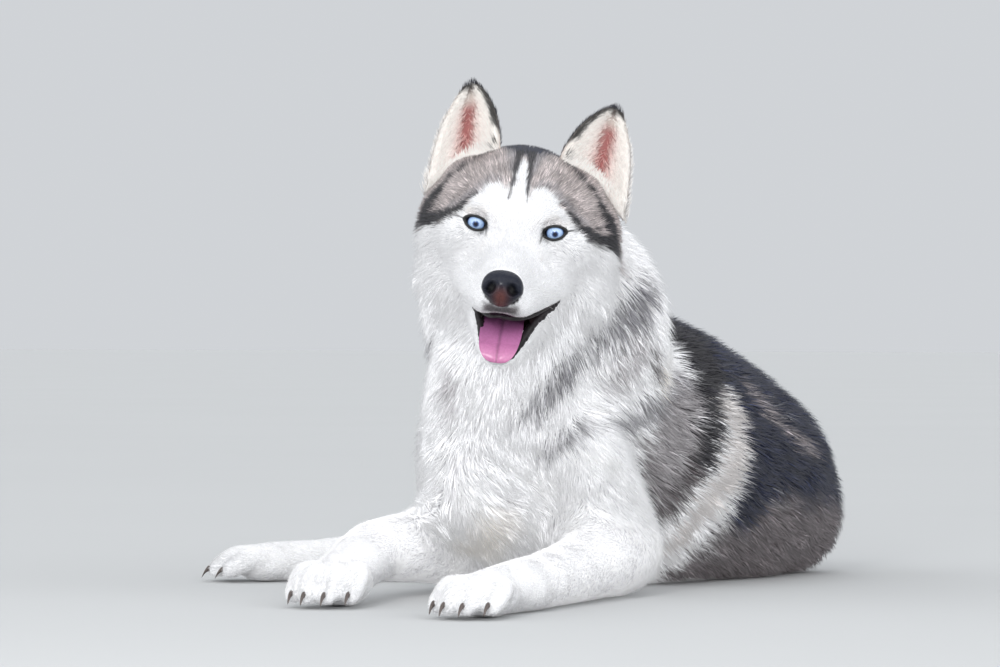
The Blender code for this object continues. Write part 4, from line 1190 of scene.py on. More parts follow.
@dataclass
class Skin:
    """One skin under the whole coat, from the nose to the tail."""

    plan: CoatPlan
    body_voxel: float = 0.0046
    head_voxel: float = 0.0020
    foot_voxel: float = 0.0024
    body_fillet: float = 0.014
    head_fillet: float = 0.010
    lid_half_width: float = 0.0098
    lid_half_height: float = 0.0058
    lid_tilt: float = 12.0
    behind_head: tuple[Vector, Vector] = (Vector((0, 0.074, -0.010)), Vector((0, 0.92, -0.39)))
    overlap: float = 0.004
    floor_gap: float = 0.0010
    far_side: float = 0.70
    hollow: bpy.types.Object | None = None

    def trunk_clay(self, clay: Clay) -> None:
        """Model the trunk, the neck and the tail."""
        clay.tube(TORSO)
        for side in (1, -1):
            clay.ball((side * 0.060, -0.004, 0.142), (0.041, 0.075, 0.090))
            clay.ball((side * 0.046, 0.045, 0.182), (0.050, 0.088, 0.072))
        clay.tube(NECK)
        clay.tube(THROAT)
        clay.tube(TAIL)
        for leg in LEGS:
            clay.tube(leg[:2])
            clay.tube(leg[1:])

    def head_clay(self, clay: Clay) -> None:
        """Model the head and the lower jaw."""
        place = HEAD_FRAME
        clay.ball((0, 0.052, 0.007), (0.064, 0.066, 0.057), place=place)
        clay.ball((0, 0.022, 0.012), (0.052, 0.040, 0.038), place=place)
        clay.ball((0, 0.000, -0.018), (0.036, 0.040, 0.028), (20, 0, 0), place)
        clay.tube(MUZZLE, place)
        clay.tube(JAW, place)
        for side in (1, -1):
            clay.ball((side * 0.030, 0.008, 0.016), (0.020, 0.018, 0.014), (0, side * -12, 0), place)
            clay.ball((side * 0.046, 0.026, -0.014), (0.029, 0.036, 0.032), place=place)
            clay.ball((side * 0.056, 0.060, -0.020), (0.038, 0.040, 0.052), place=place)
            clay.ball((side * 0.052, 0.056, -0.058), (0.038, 0.040, 0.044), place=place)
            clay.ball((side * 0.042, 0.052, 0.016), (0.034, 0.036, 0.034), place=place)
            clay.tube(mirrored(LIP, side), place)

    def foot_clay(self, clay: Clay, foot: FootPlan) -> None:
        """Model one foot with its toes."""
        place = foot.matrix()
        _, _, z, radius = foot.leg[-1]
        knuckle = -foot.length + 0.056
        half = foot.height / 2
        clay.tube(((0, 0.004, z, radius), (0, knuckle * 0.55, (z + half) / 2, (radius + half) / 2),
                   (0, knuckle, half, half)), place)
        clay.ball((0, knuckle + 0.001, half * 0.92), (foot.half_width * 0.95, 0.030, half), place=place)
        for x, ahead in foot.toes():
            clay.tube(((x * 0.75, knuckle - 0.006, foot.height * 0.62, 0.0115),
                       (x, -ahead + 0.018, foot.height * 0.60, 0.0118), (x * 1.04, -ahead, 0.012, 0.0098)), place, 16, 5)

    def build(self) -> bpy.types.Object:
        """Build the whole skin.

        Returns:
            The skin.
        """
        body_clay = Clay()
        self.trunk_clay(body_clay)
        self.head_clay(body_clay)
        for foot in FEET:
            self.foot_clay(body_clay, foot)
        body = self.sunk(fleshed(body_clay, "body", self.body_voxel, self.body_fillet, 5))
        head_clay = Clay()
        self.head_clay(head_clay)
        head_clay.tube(NECK[-2:])
        head_clay.tube(THROAT[:2])
        head = self.sunk(fleshed(head_clay, "head", self.head_voxel, self.head_fillet, 5))
        self.open_face(head)
        feet = []
        for foot in FEET:
            clay = Clay()
            self.foot_clay(clay, foot)
            clay.tube(foot.leg[-2:])
            feet.append(self.sunk(fleshed(clay, foot.name, self.foot_voxel, 0.0, 3)))
        return self.joined(body, head, feet)

    def sunk(self, thing: bpy.types.Object) -> bpy.types.Object:
        """Move a surface in by the depth of the coat, smoothly."""
        points = points_of(thing)
        lie = self.plan.at(points)
        points = points - normals_of(thing) * lie.depth[:, None]
        points[:, 2] = np.maximum(points[:, 2], self.floor_gap)
        set_points(thing, points)
        smooth = thing.modifiers.new("soften", "SMOOTH")
        smooth.factor = 0.4
        smooth.iterations = 2
        return applied(thing)

    def eye_at(self, side: int) -> tuple[float, float, float]:
        """Give the middle of an eye in the head's frame."""
        return (side * EYE_SPREAD, EYE_BACK, 0.0)

    def open_face(self, head: bpy.types.Object) -> None:
        """Raise the lids, open them over the eyes and open the mouth."""
        for side in (1, -1):
            self.raise_lids(head, side)
        for side in (1, -1):
            x, y, z = self.eye_at(side)
            clay = Clay()
            clay.ball((x, y - EYE_RADIUS, z), (self.lid_half_width, 0.0115, self.lid_half_height),
                      (0, -side * self.lid_tilt, 0), HEAD_FRAME, 24)
            cut(head, clay.mesh_object("cutter"))
            clay = Clay()
            clay.ball((x, y, z), (EYE_RADIUS + 0.0003,) * 3, (90, 0, 0), HEAD_FRAME, 24)
            cut(head, clay.mesh_object("cutter"))
        self.hollow = self.mouth_form()
        cut(head, self.mouth_form())

    def raise_lids(self, head: bpy.types.Object, side: int) -> None:
        """Push the skin round an eye out to the lids' ball, and sink it a little between brow and nose."""
        points = carried(points_of(head), HEAD_FRAME.inverted())
        centre = np.array(self.eye_at(side))
        away = points - centre
        front = away[:, 1] < 0.002
        across = np.hypot(away[:, 0] / 1.18, away[:, 2])
        reach = EYE_RADIUS + LID_THICK
        wanted = -np.sqrt(np.maximum(reach**2 - np.minimum(across, reach * 0.98) ** 2, 0))
        blend = (1 - smoothstep(0.0085, 0.0180, across)) * front * (away[:, 1] > -0.03)
        move = wanted + centre[1] - points[:, 1]
        move = np.where(move > 0, move * (1 - smoothstep(0.0090, 0.0125, across)), move)
        points[:, 1] += move * blend
        set_points(head, carried(points, HEAD_FRAME))

    def mouth_form(self) -> bpy.types.Object:
        """Make the open space between the lips."""
        angles = np.radians(np.arange(0, 360, 12.0))
        rings = catmull(np.array(HOLLOW[::-1], float), 5)[::-1]
        across = np.cos(angles) * np.where(np.cos(angles) < 0, self.far_side, 1.0)
        loops = np.stack([np.stack([half * across, np.full(len(angles), y),
                                    low + (high - low) * (np.sin(angles) + 1) / 2], axis=-1)
                          for y, half, high, low in rings])
        clay = Clay()
        clay.loft(carried(loops.reshape(-1, 3), HEAD_FRAME).reshape(loops.shape))
        return clay.mesh_object("mouth_room")

    def behind(self, points: Array) -> Array:
        """Say how far places lie behind the line between head and neck."""
        at, out = self.behind_head
        return (carried(points, HEAD_FRAME.inverted()) - np.array(at)) @ np.array(out.normalized())

    def joined(self, body: bpy.types.Object, head: bpy.types.Object, feet: list[bpy.types.Object]) -> bpy.types.Object:
        """Put the parts of the skin together as one object, each kept only where it belongs."""
        stacks: list[Array] = []
        triangles: list[Array] = []
        count = 0
        for name, thing in zip(("body", "head", *(foot.name for foot in FEET)), (body, head, *feet)):
            points = points_of(thing)
            corners = triangles_of(thing)
            middle = points[corners].mean(axis=1)
            keep = self.kept(name, middle)
            stacks.append(points)
            triangles.append(corners[keep] + count)
            count += len(points)
            bpy.data.objects.remove(thing, do_unlink=True)
        points = np.vstack(stacks)
        faces = np.vstack(triangles)
        used, renumbered = np.unique(faces, return_inverse=True)
        return smooth_shaded(triangle_object("skin", points[used], renumbered.reshape(-1, 3)))

    def from_leg(self, leg: tuple[Station, ...], middle: Array) -> Array:
        """Say how far places lie from the lower length of a leg."""
        start, end = (np.array(station[:3]) for station in leg[-2:])
        run = end - start
        t = np.clip((middle - start) @ run / (run @ run), 0, 1)
        return np.linalg.norm(middle - start - t[:, None] * run, axis=1)

    def kept(self, name: str, middle: Array) -> Array:
        """Choose the faces of one part of the skin that stay."""
        near = carried(middle, HEAD_FRAME.inverted())
        low_front = (near[:, 2] < -0.050) & (near[:, 1] < 0.060)
        throat = low_front & (-0.52 * (near[:, 1] - 0.004) - 0.85 * (near[:, 2] + 0.080) > 0.012)
        if name == "head":
            return (self.behind(middle) < self.overlap) & ~(throat & (near[:, 2] < -0.150))
        if name == "body":
            in_feet = np.zeros(len(middle), bool)
            for foot in FEET:
                local = carried(middle, foot.matrix().inverted())
                others = np.min([self.from_leg(f.leg, middle) for f in FEET if f is not foot], axis=0)
                in_feet |= (local[:, 1] < 0.0) & (np.abs(local[:, 0]) < 0.060) & (local[:, 2] < 0.085) & (
                    local[:, 1] > -foot.length - 0.02) & (np.hypot(local[:, 0], local[:, 2] - 0.02) < others)
            in_head = (self.behind(middle) < 0) & ~((near[:, 2] < -0.105) & (near[:, 1] > -0.03)) & (near[:, 2] > -0.135)
            return ~in_head & ~in_feet
        foot = next(f for f in FEET if f.name == name)
        return carried(middle, foot.matrix().inverted())[:, 1] < 0.004


# The coat.


@dataclass
class Roots:
    """Where the tufts of one region grow and how each lies."""

    at: Array
    out: Array
    way: Array
    depth: Array
    length: Array
    width: Array
    colour: Array
    mottle: Array
    uv: Array
    loft: Array | None = None

    def chosen(self, mask: Array) -> "Roots":
        """Take some of the roots."""
        return Roots(*(getattr(self, name)[mask] for name in self.__dataclass_fields__ if name != "loft"),
                     None if self.loft is None else self.loft[mask])


class TuftMaker:
    """Turns roots into closed tapered tufts."""

    BENT = np.array([(0, 1, 4), (0, 4, 3), (1, 2, 5), (1, 5, 4), (2, 0, 3), (2, 3, 5), (3, 4, 6), (4, 5, 6), (5, 3, 6),
                     (0, 2, 1)])
    STRAIGHT = np.array([(0, 1, 3), (1, 2, 3), (2, 0, 3), (0, 2, 1)])
    PATCH = 0.0015
    BENT_PATCH = np.array([(-1, -1), (1, -1), (0, -0.7), (-0.8, 0.1), (0.8, 0.1), (0, 0.3), (0, 1)]) * PATCH
    STRAIGHT_PATCH = np.array([(-1, -1), (1, -1), (0, -0.7), (0, 1)]) * PATCH

    def __init__(self, tree: BVHTree, seed: int) -> None:
        """Keep the surface that the tufts lie on."""
        self.tree = tree
        self.chance = np.random.default_rng(seed)

    def over(self, points: Array) -> tuple[Array, Array]:
        """Find the nearest places on the skin and the ways out of it."""
        places = np.empty_like(points)
        outs = np.empty_like(points)
        find = self.tree.find_nearest
        for i, point in enumerate(points.tolist()):
            place, out, _, _ = find(point)
            places[i] = place
            outs[i] = out
        return places, outs

    def make(self, name: str, roots: Roots, material: bpy.types.Material, bent: bool = True, stand: float = 1.0,
             hug: bool = True) -> bpy.types.Object:
        """Make one piece of coat.

        Args:
            name: The piece's name.
            roots: Where its tufts grow.
            material: Its finish.
            bent: Whether a tuft bends in its middle.
            stand: How far tips stand off, over the coat's depth.
            hug: Whether a tuft follows the skin below it.

        Returns:
            The piece.
        """
        count = len(roots.at)
        chance = self.chance
        out = roots.out
        way = unit(roots.way - dots(roots.way, out) * out)
        length = roots.length * chance.uniform(0.72, 1.18, count)
        lift = roots.depth * chance.uniform(0.70, 1.20, count) * stand
        if roots.loft is not None:
            lift = lift + roots.loft * chance.uniform(0.3, 1.3, count)
        width = roots.width * chance.uniform(0.75, 1.25, count)
        side = np.cross(out, way)
        start = roots.at - out * 0.0010
        middle = roots.at + way * (length * 0.48)[:, None]
        tip = roots.at + way * (length * 0.94)[:, None]
        mid_out, tip_out = out, out
        if hug:
            middle, mid_out = self.over(middle)
            tip, tip_out = self.over(middle + unit(tip - middle) * (length * 0.46)[:, None])
        middle = middle + mid_out * (lift * 0.62)[:, None]
        tip = tip + tip_out * lift[:, None]
        half = width[:, None] / 2
        thick = width[:, None] * 0.26
        ring = [start - side * half, start + side * half, start + out * thick]
        if bent:
            ring += [middle - side * half * 0.82, middle + side * half * 0.82, middle + mid_out * thick * 0.8, tip]
        else:
            ring += [tip]
        points = np.stack(ring, axis=1)
        points[..., 2] = np.maximum(points[..., 2], 0.0004 + 0.0004 * chance.random((count, 1)))
        kinds = self.BENT if bent else self.STRAIGHT
        patch = self.BENT_PATCH if bent else self.STRAIGHT_PATCH
        size = points.shape[1]
        triangles = (kinds[None] + np.arange(count)[:, None, None] * size).reshape(-1, 3)
        piece = smooth_shaded(triangle_object(name, points.reshape(-1, 3), triangles))
        shade = np.exp(roots.mottle * chance.normal(size=count))[:, None]
        shade = np.minimum(shade, 0.96 / np.maximum(roots.colour.max(axis=1, keepdims=True), 0.01))
        tones = roots.colour * shade
        tint = np.repeat(tones[:, None], size, axis=1)
        # Painted shade and light along each tuft: darker at the root by the skin, a little lighter at the tip.
        tint[:, :3] *= 0.93
        tint[:, -1] *= 1.03
        paint(piece, TINT, np.clip(tint, 0.0, 0.97).reshape(-1, 3))
        layer = piece.data.uv_layers.new(name=COAT_UV)
        spots = (roots.uv[:, None] + patch[None]).reshape(-1, 2)
        layer.data.foreach_set("uv", spots[triangles.ravel()].astype(np.float32).ravel())
        piece.data.materials.append(material)
        return piece


@dataclass
class Coat:
    """All the fur that grows on the skin."""

    skin: bpy.types.Object
    plan: CoatPlan
    markings: Markings
    most: int = 190000
    bend_over: float = 0.029
    fewest: int = 300
    pieces: list[bpy.types.Object] = field(default_factory=list)

    BARE_BELOW = 0.0016

    def build(self, bare: Callable[[Array], Array]) -> list[bpy.types.Object]:
        """Paint the skin and grow the coat.

        Args:
            bare: Says at which places no hair grows.

        Returns:
            The pieces of coat.
        """
        points = points_of(self.skin)
        corners = triangles_of(self.skin)
        lie = self.plan.at(points)
        roots, share = self.roots(points, corners, lie, bare)
        tree = BVHTree.FromPolygons(points.tolist(), corners.tolist())
        maker = TuftMaker(tree, SEED)
        # Painted light: each coat material glows in its own colour, most on the face, to lift the shade between tufts.
        furs = {"head": FurFinish("coat_face", painted_glow=0.32).material(),
                "feet": FurFinish("coat_short", painted_glow=0.14).material()}
        long_fur = FurFinish("coat_long", painted_glow=0.24).material()
        for part, names in (("head", ("head",)), ("neck", ("neck",)), ("torso", ("torso",)),
                            ("legs", ("foreleg", "hindleg")), ("feet", ("foot",)), ("tail", ("tail",))):
            mask = np.isin(share, [CoatPlan.PARTS.index(n) for n in names])
            chosen = roots.chosen(mask)
            short = chosen.length < self.bend_over
            if min(short.sum(), (~short).sum()) < self.fewest:
                short[:] = short.mean() > 0.5
            for kind, bent in (("short", False), ("long", True)):
                some = chosen.chosen(short if not bent else ~short)
                each = 4 if not bent else 10
                pieces = max(1, math.ceil(len(some.at) * each / self.most)) if len(some.at) else 0
                for i in range(pieces):
                    name = f"coat_{part}_{kind}_{i + 1}"
                    piece = maker.make(name, some.chosen(np.arange(len(some.at)) % pieces == i),
                                       furs.get(part, long_fur), bent)
                    self.pieces.append(piece)
        return self.pieces

    def roots(self, points: Array, corners: Array, lie: Lie, bare: Callable[[Array], Array]) -> tuple[Roots, Array]:
        """Scatter roots over the skin, closer where the coat is finer.

        Args:
            points: The skin's vertices.
            corners: Its triangles.
            lie: The coat at its vertices.
            bare: Says at which places no hair grows.

        Returns:
            The roots, and the part of the body that each is on.
        """
        chance = np.random.default_rng(SEED + 1)
        a, b, c = (points[corners[:, k]] for k in range(3))
        normal = np.cross(b - a, c - a)
        area = np.linalg.norm(normal, axis=1) / 2
        each = [values[corners].mean(axis=1) for values in (lie.length, lie.width, lie.layers)]
        density = each[2] / (0.55 * each[0] * each[1])
        count = np.floor(area * density + chance.random(len(area))).astype(int)
        count[a[:, 2] < self.BARE_BELOW] = 0
        owner = np.repeat(np.arange(len(area)), count)
        u, v = chance.random((2, len(owner)))
        flip = u + v > 1
        u[flip], v[flip] = 1 - u[flip], 1 - v[flip]
        weights = np.stack([1 - u - v, u, v], axis=1)
        at = np.einsum("nk,nkd->nd", weights, points[corners[owner]])
        keep = ~bare(at)
        owner, weights, at = owner[keep], weights[keep], at[keep]

        def blend(values: Array) -> Array:
            """Blend a vertex value to the roots."""
            picked = values[corners[owner]]
            return np.einsum("nk,nk...->n...", weights, picked)

        vertex_out = normals_of(self.skin)
        out = unit(blend(vertex_out))
        share = np.argmax(np.stack([blend(lie.share[p]) for p in CoatPlan.PARTS]), axis=0)
        way = blend(lie.way)
        way = unit(way - dots(way, out) * out)
        side = np.cross(out, way)
        swing = 0.20 * waves(at, 0.030, 11) + 0.12 * waves(at, 0.009, 12) + 0.13 * chance.normal(size=len(at))
        swing = swing * np.where(share == CoatPlan.PARTS.index("head"), 0.55, 1.0)
        way = unit(way + side * swing[:, None])
        length = blend(lie.length) * (1 + 0.12 * waves(at, 0.02, 13))
        clear = ~bare(at + way * length[:, None] * 0.85)
        owner, weights, at, out, way, length, share = (
            values[clear] for values in (owner, weights, at, out, way, length, share))
        seen = at + out * blend(lie.depth)[:, None] * 0.8 + way * length[:, None] * 0.5
        colours, mottle = self.coloured(seen, {p: blend(lie.share[p]) for p in CoatPlan.PARTS})
        roots = Roots(at, out, way, blend(lie.depth), length, blend(lie.width), colours, mottle,
                      self.unwrap(at, share), blend(lie.loft))
        above = points + vertex_out * lie.depth[:, None] * 0.8
        vertex_colours, _ = self.coloured(above, lie.share)
        # Bare skin is painted near black: dark skin at the lids and lips, and painted shade on the walls inside the
        # open mouth; the rest is a little darker than the hair above it.
        vertex_colours = np.where(bare(points)[:, None], np.array([0.008, 0.005, 0.006]), vertex_colours * 0.95)
        paint(self.skin, TINT, vertex_colours)
        return roots, share

    def coloured(self, points: Array, share: dict[str, Array]) -> tuple[Array, Array]:
        """Work out the markings at places with known shares of the parts."""
        head = smoothstep(0.25, 0.75, share["head"])
        trunk = smoothstep(0.25, 0.75, share["torso"] + share["neck"])
        tail = smoothstep(0.25, 0.75, share["tail"])
        hind = smoothstep(0.25, 0.75, share["hindleg"])
        return self.markings.colours(points, head, trunk, tail, hind)

    def unwrap(self, points: Array, share: Array) -> Array:
        """Lay the skin out flat, each part of the body round its own length.

        Args:
            points: Places on the skin.
            share: The part of the body each is on.

        Returns:
            Two coordinates for each place.
        """
        flat = np.zeros((len(points), 2))
        for index, part in enumerate(CoatPlan.PARTS):
            mine = share == index
            bones = [b for b in self.plan.bones if b.part == part]
            if not mine.any():
                continue
            best = np.full(mine.sum(), 99.0)
            spots = np.zeros((mine.sum(), 2))
            for place, bone in enumerate(bones):
                ratio, _, along, angle = bone.near(points[mine])
                closer = ratio < best
                best[closer] = ratio[closer]
                lane = (place + 0.03 + 0.94 * angle) / len(bones)
                spots[closer] = np.stack([lane, 0.02 + 0.96 * along], axis=1)[closer]
            flat[mine] = spots
        return flat


# The face.


@dataclass
class Face:
    """Eyes, lids, nose, lips, tongue and whiskers, in the head's own frame."""

    skin: Skin
    gaze: tuple[float, float] = (-3.0, 5.0)
    rim_radius: float = 0.0012
    nose_at: tuple[float, float, float] = (0, -0.0845, -0.040)
    nose_half: tuple[float, float, float] = (0.0180, 0.0135, 0.0156)

    def build(self) -> None:
        """Build and dress every piece of the face."""
        for side, name in ((1, "left"), (-1, "right")):
            self.eye(side, name)
            self.lids(side, name)
        self.nose()
        self.tongue()
        self.mouth_lining()
        self.lips()
        self.whiskers()

    def eye(self, side: int, name: str) -> None:
        """Make one eyeball with its raised cornea."""
        polar = np.concatenate([np.linspace(0.0, 0.72, 40), np.linspace(0.76, math.pi - 0.02, 26)])
        angles = np.linspace(0, 2 * math.pi, 64, endpoint=False)
        polar[0] = 0.004
        bulge = 1 + 0.085 * (1 - smoothstep(0.0, 0.62, polar))
        loops = np.stack([np.sin(polar)[:, None] * np.cos(angles), -np.cos(polar)[:, None] * np.ones(64),
                          np.sin(polar)[:, None] * np.sin(angles)], axis=-1)
        loops = loops * EYE_RADIUS * bulge[:, None, None]
        clay = Clay()
        place = HEAD_FRAME @ matrix_of((self.gaze[1], 0, -self.gaze[0] + side * 1.5), self.skin.eye_at(side))
        clay.loft(carried(loops.reshape(-1, 3), place).reshape(loops.shape))
        eye = smooth_shaded(clay.mesh_object(f"eyeball_{name}"))
        spots = np.stack([np.repeat(np.sin(np.minimum(polar, 1.57)) + (polar > 1.57), 64),
                          np.tile(np.abs(angles / math.pi - 1), len(polar)), np.zeros(len(polar) * 64)], axis=1)
        paint(eye, SPOT, spots)
        eye.data.materials.append(EyeFinish().material() if side > 0 else bpy.data.materials["eye_blue"])
        finished(eye, "eye", f"eye_{name}")

    def lids(self, side: int, name: str) -> None:
        """Make the dark rim of the lids, drawn out to a point at both corners."""
        t = np.linspace(0, 2 * math.pi, 96, endpoint=False)
        x = self.skin.lid_half_width * np.cos(t) * 1.03
        z = self.skin.lid_half_height * np.sin(t) * (0.76 + 0.27 * np.abs(np.sin(t)))
        tilt = math.radians(side * self.skin.lid_tilt)
        u = x * math.cos(tilt) - z * math.sin(tilt)
        w = x * math.sin(tilt) + z * math.cos(tilt)
        reach = EYE_RADIUS + LID_THICK * 0.95
        depth = -np.sqrt(np.maximum(reach**2 - u**2 - w**2, 1e-8))
        middles = np.stack([u, depth, w], axis=1) + np.array(self.skin.eye_at(side))
        corner = np.abs(np.cos(t)) ** 8
        radii = self.rim_radius * (1 + 0.5 * corner)
        rim = swept(f"lid_rim_{name}", carried(middles, HEAD_FRAME), radii, 10, closed=True)
        paint(rim, TINT, np.tile((0.004, 0.004, 0.005), (len(rim.data.vertices), 1)))
        rim.data.materials.append(material_once("lid_leather", lambda: WetFinish(
            "lid_leather", 0.60, 0.0, 1400, 0.0002).material()))
        finished(rim, "nose_leather")

    def nose(self) -> None:
        """Make the nose leather with comma-shaped nostrils and a groove down its middle."""
        rings, sides = 96, 128
        polar = np.linspace(0.02, math.pi - 0.02, rings)[:, None]
        angles = np.linspace(0, 2 * math.pi, sides, endpoint=False)[None]
        x = np.sin(polar) * np.cos(angles)
        y = np.sin(polar) * np.sin(angles)
        z = np.cos(polar) * np.ones_like(angles)
        low = smoothstep(0.0, 1.0, -z)
        x = np.sign(x) * np.abs(x) ** 0.86 * (1 - 0.34 * low)
        z = np.sign(z) * np.abs(z) ** 0.92
        y = np.sign(y) * np.abs(y) ** 0.8
        form = np.stack([x, y, z], axis=-1).reshape(-1, 3) * np.array(self.nose_half)
        front = smoothstep(0.0, 0.006, -form[:, 1])
        across = np.abs(form[:, 0])
        pit_x, pit_z = (across - 0.0088) / 0.0044, (form[:, 2] + 0.0012 + 0.30 * (across - 0.0088)) / 0.0051
        pit = np.exp(-(pit_x**2 + pit_z**2) ** 1.5)
        slit_run = smoothstep(0.008, 0.012, across)
        slit = np.exp(-(((form[:, 2] + 0.0044 - 0.10 * across) / 0.0013) ** 2)) * slit_run
        groove = np.exp(-((form[:, 0] / 0.0010) ** 2)) * smoothstep(-0.001, -0.005, form[:, 2] - 0.004)
        form[:, 1] += front * (0.0052 * pit + 0.0022 * slit + 0.0011 * groove)
        wing = np.exp(-((np.hypot(across - 0.0105, form[:, 2] + 0.001) - 0.0062) / 0.0016) ** 2)
        form[:, 1] -= front * 0.0007 * wing
        clay = Clay()
        place = HEAD_FRAME @ matrix_of((-14, 0, 0), self.nose_at)
        clay.loft(carried(form, place).reshape(rings, sides, 3)[:, ::-1])
        nose = smooth_shaded(clay.mesh_object("nose_leather"))
        form = form.reshape(rings, sides, 3)[:, ::-1].reshape(-1, 3)
        top = np.array([0.006, 0.008, 0.018])
        warm = np.array([0.080, 0.024, 0.022])
        centre = np.exp(-((form[:, 0] / 0.0065) ** 2)) * (1 - smoothstep(-0.008, 0.004, form[:, 2]))
        colour = top + (warm - top) * np.clip(centre * 1.1, 0, 1)[:, None]
        # Painted shade: the nostril pits are painted almost black, darker than the rest of the nose.
        dark = 1 - 0.97 * pit.reshape(rings, sides)[:, ::-1].ravel()
        paint(nose, TINT, colour * dark[:, None])
        nose.data.materials.append(WetFinish("nose_leather", 0.42, 0.22, 900, 0.0006, True, 0.18).material())
        finished(nose, "nose_leather", "nose")

    def tongue(self) -> None:
        """Make the tongue that hangs over the lower lip, with painted shade towards its root and down its groove."""
        stations = catmull(np.array([(0.006, -0.066, 0.55), (-0.014, -0.0685, 0.90), (-0.034, -0.0755, 1.05),
                                     (-0.052, -0.0835, 1.10), (-0.066, -0.0915, 1.06), (-0.0740, -0.0985, 0.92),
                                     (-0.0768, -0.1035, 0.64), (-0.0770, -0.1060, 0.28)], float), 8)
        sides = 48
        angles = np.linspace(0, 2 * math.pi, sides, endpoint=False)
        loops, tints = [], []
        for i, (y, z, wide) in enumerate(stations):
            slope = stations[min(i + 1, len(stations) - 1)] - stations[max(i - 1, 0)]
            out = unit(np.array([-slope[1], slope[0]]))
            out = out if out[1] > 0 or i > len(stations) * 0.6 else -out
            u = np.cos(angles)
            x = u * 0.0166 * wide + 0.0010
            thick = 0.0032 * np.sqrt(np.maximum(1 - u**2 * 0.96, 0)) * min(1.0, 0.35 + wide)
            high = np.sin(angles) * thick + 0.0032 * u**2 * min(1, wide)
            top = np.sin(angles) > 0
            high = high - top * 0.0019 * np.exp(-((u / 0.10) ** 2))
            loops.append(np.stack([x, y - high * -out[0] * -1 * 0.6, z + high * abs(out[1])], axis=1))
            base = np.array([0.32, 0.10, 0.25])
            tip = np.array([0.50, 0.165, 0.33])
            run = i / (len(stations) - 1)
            colour = base + (tip - base) * smoothstep(0.35, 0.95, np.array(run))
            # Painted shade: the tongue darkens towards its root, inside the mouth.
            back = 1 - smoothstep(0.05, 0.55, np.array(run))
            colour = colour * (1 - 0.93 * back)
            # Painted shade down the groove in the middle of the tongue's top.
            tint = np.tile(colour, (sides, 1)) * (1 - 0.35 * np.exp(-((u / 0.07) ** 2)) * top)[:, None]
            tints.append(tint)
        loops = np.array(loops)
        clay = Clay()
        clay.loft(carried(loops.reshape(-1, 3), HEAD_FRAME).reshape(loops.shape))
        tongue = smooth_shaded(clay.mesh_object("tongue_form"))
        paint(tongue, TINT, np.vstack(tints))
        tongue.data.materials.append(WetFinish("tongue_flesh", 0.36, 0.35, 1700, 0.0005).material())
        finished(tongue, "tongue", "tongue")

    def mouth_lining(self) -> None:
        """Line the open mouth with dark moist flesh, painted near black and darker towards the back: dark flesh with
        painted shade inside the mouth.
        """
        lining = self.skin.hollow
        points = carried(points_of(lining), HEAD_FRAME.inverted())
        centre = points.mean(axis=0)
        keep_front = points[:, 1] > -0.050
        shrunk = points.copy()
        shrunk[:, 0] = points[:, 0] * 0.97
        shrunk[:, 2] = centre[2] + (points[:, 2] - centre[2]) * 0.97
        corners = triangles_of(lining)
        keep = keep_front[corners].all(axis=1)
        made = smooth_shaded(triangle_object("mouth_lining", carried(shrunk, HEAD_FRAME), corners[keep][:, ::-1]))
        tidy_loose(made)
        # Painted shade: the lining darkens the deeper it lies in the mouth.
        deep_shade = smoothstep(-0.050, 0.0, carried(points_of(made), HEAD_FRAME.inverted())[:, 1])
        colour = np.array([0.008, 0.003, 0.004]) * (1 - 0.80 * deep_shade[:, None])
        paint(made, TINT, colour)
        made.data.materials.append(WetFinish("mouth_flesh", 0.6, 0.0, 900, 0.0005, specular=0.05).material())
        bpy.data.objects.remove(lining, do_unlink=True)
        finished(made, "tongue")

    def lips(self) -> None:
        """Make the dark edges of the lips."""
        upper = ((0.0450, -0.006, -0.0560, 0.0010), (0.0415, -0.013, -0.0588, 0.0014), (0.0370, -0.026, -0.0622, 0.0016),
                 (0.0295, -0.045, -0.0652, 0.0017), (0.0212, -0.062, -0.0668, 0.0017), (0.0105, -0.0755, -0.0668, 0.0016),
                 (0.0, -0.0800, -0.0652, 0.0014))
        lower = ((0.0455, -0.006, -0.0570, 0.0014), (0.0415, -0.013, -0.0622, 0.0027), (0.0345, -0.026, -0.0680, 0.0032),
                 (0.0262, -0.042, -0.0765, 0.0036), (0.0192, -0.057, -0.0900, 0.0034), (0.0112, -0.0690, -0.1020, 0.0026),
                 (0.0, -0.0735, -0.1045, 0.0026))
        leather = WetFinish("lip_leather", 0.42, 0.14, 800, 0.0006, specular=0.2).material()
        for name, path in (("lip_upper", upper), ("lip_lower", lower)):
            whole = np.array([*mirrored(path, 1), *mirrored(path[:-1], -1)[::-1]], float)
            whole[:, 0] *= np.where(whole[:, 0] < 0, self.skin.far_side + 0.04, 1.0)
            run = catmull(whole, 12)
            crimp = 1 + 0.16 * waves(run[:, :3], 0.0045, 42) * (name == "lip_lower")
            lip = swept(name, carried(run[:, :3], HEAD_FRAME), run[:, 3] * crimp, 12)
            count = len(lip.data.vertices)
            tone = 0.8 + 0.3 * waves(points_of(lip), 0.012, 41)
            paint(lip, TINT, np.tile((0.012, 0.008, 0.010), (count, 1)) * tone[:, None])
            lip.data.materials.append(leather)
            finished(lip, "nose_leather")

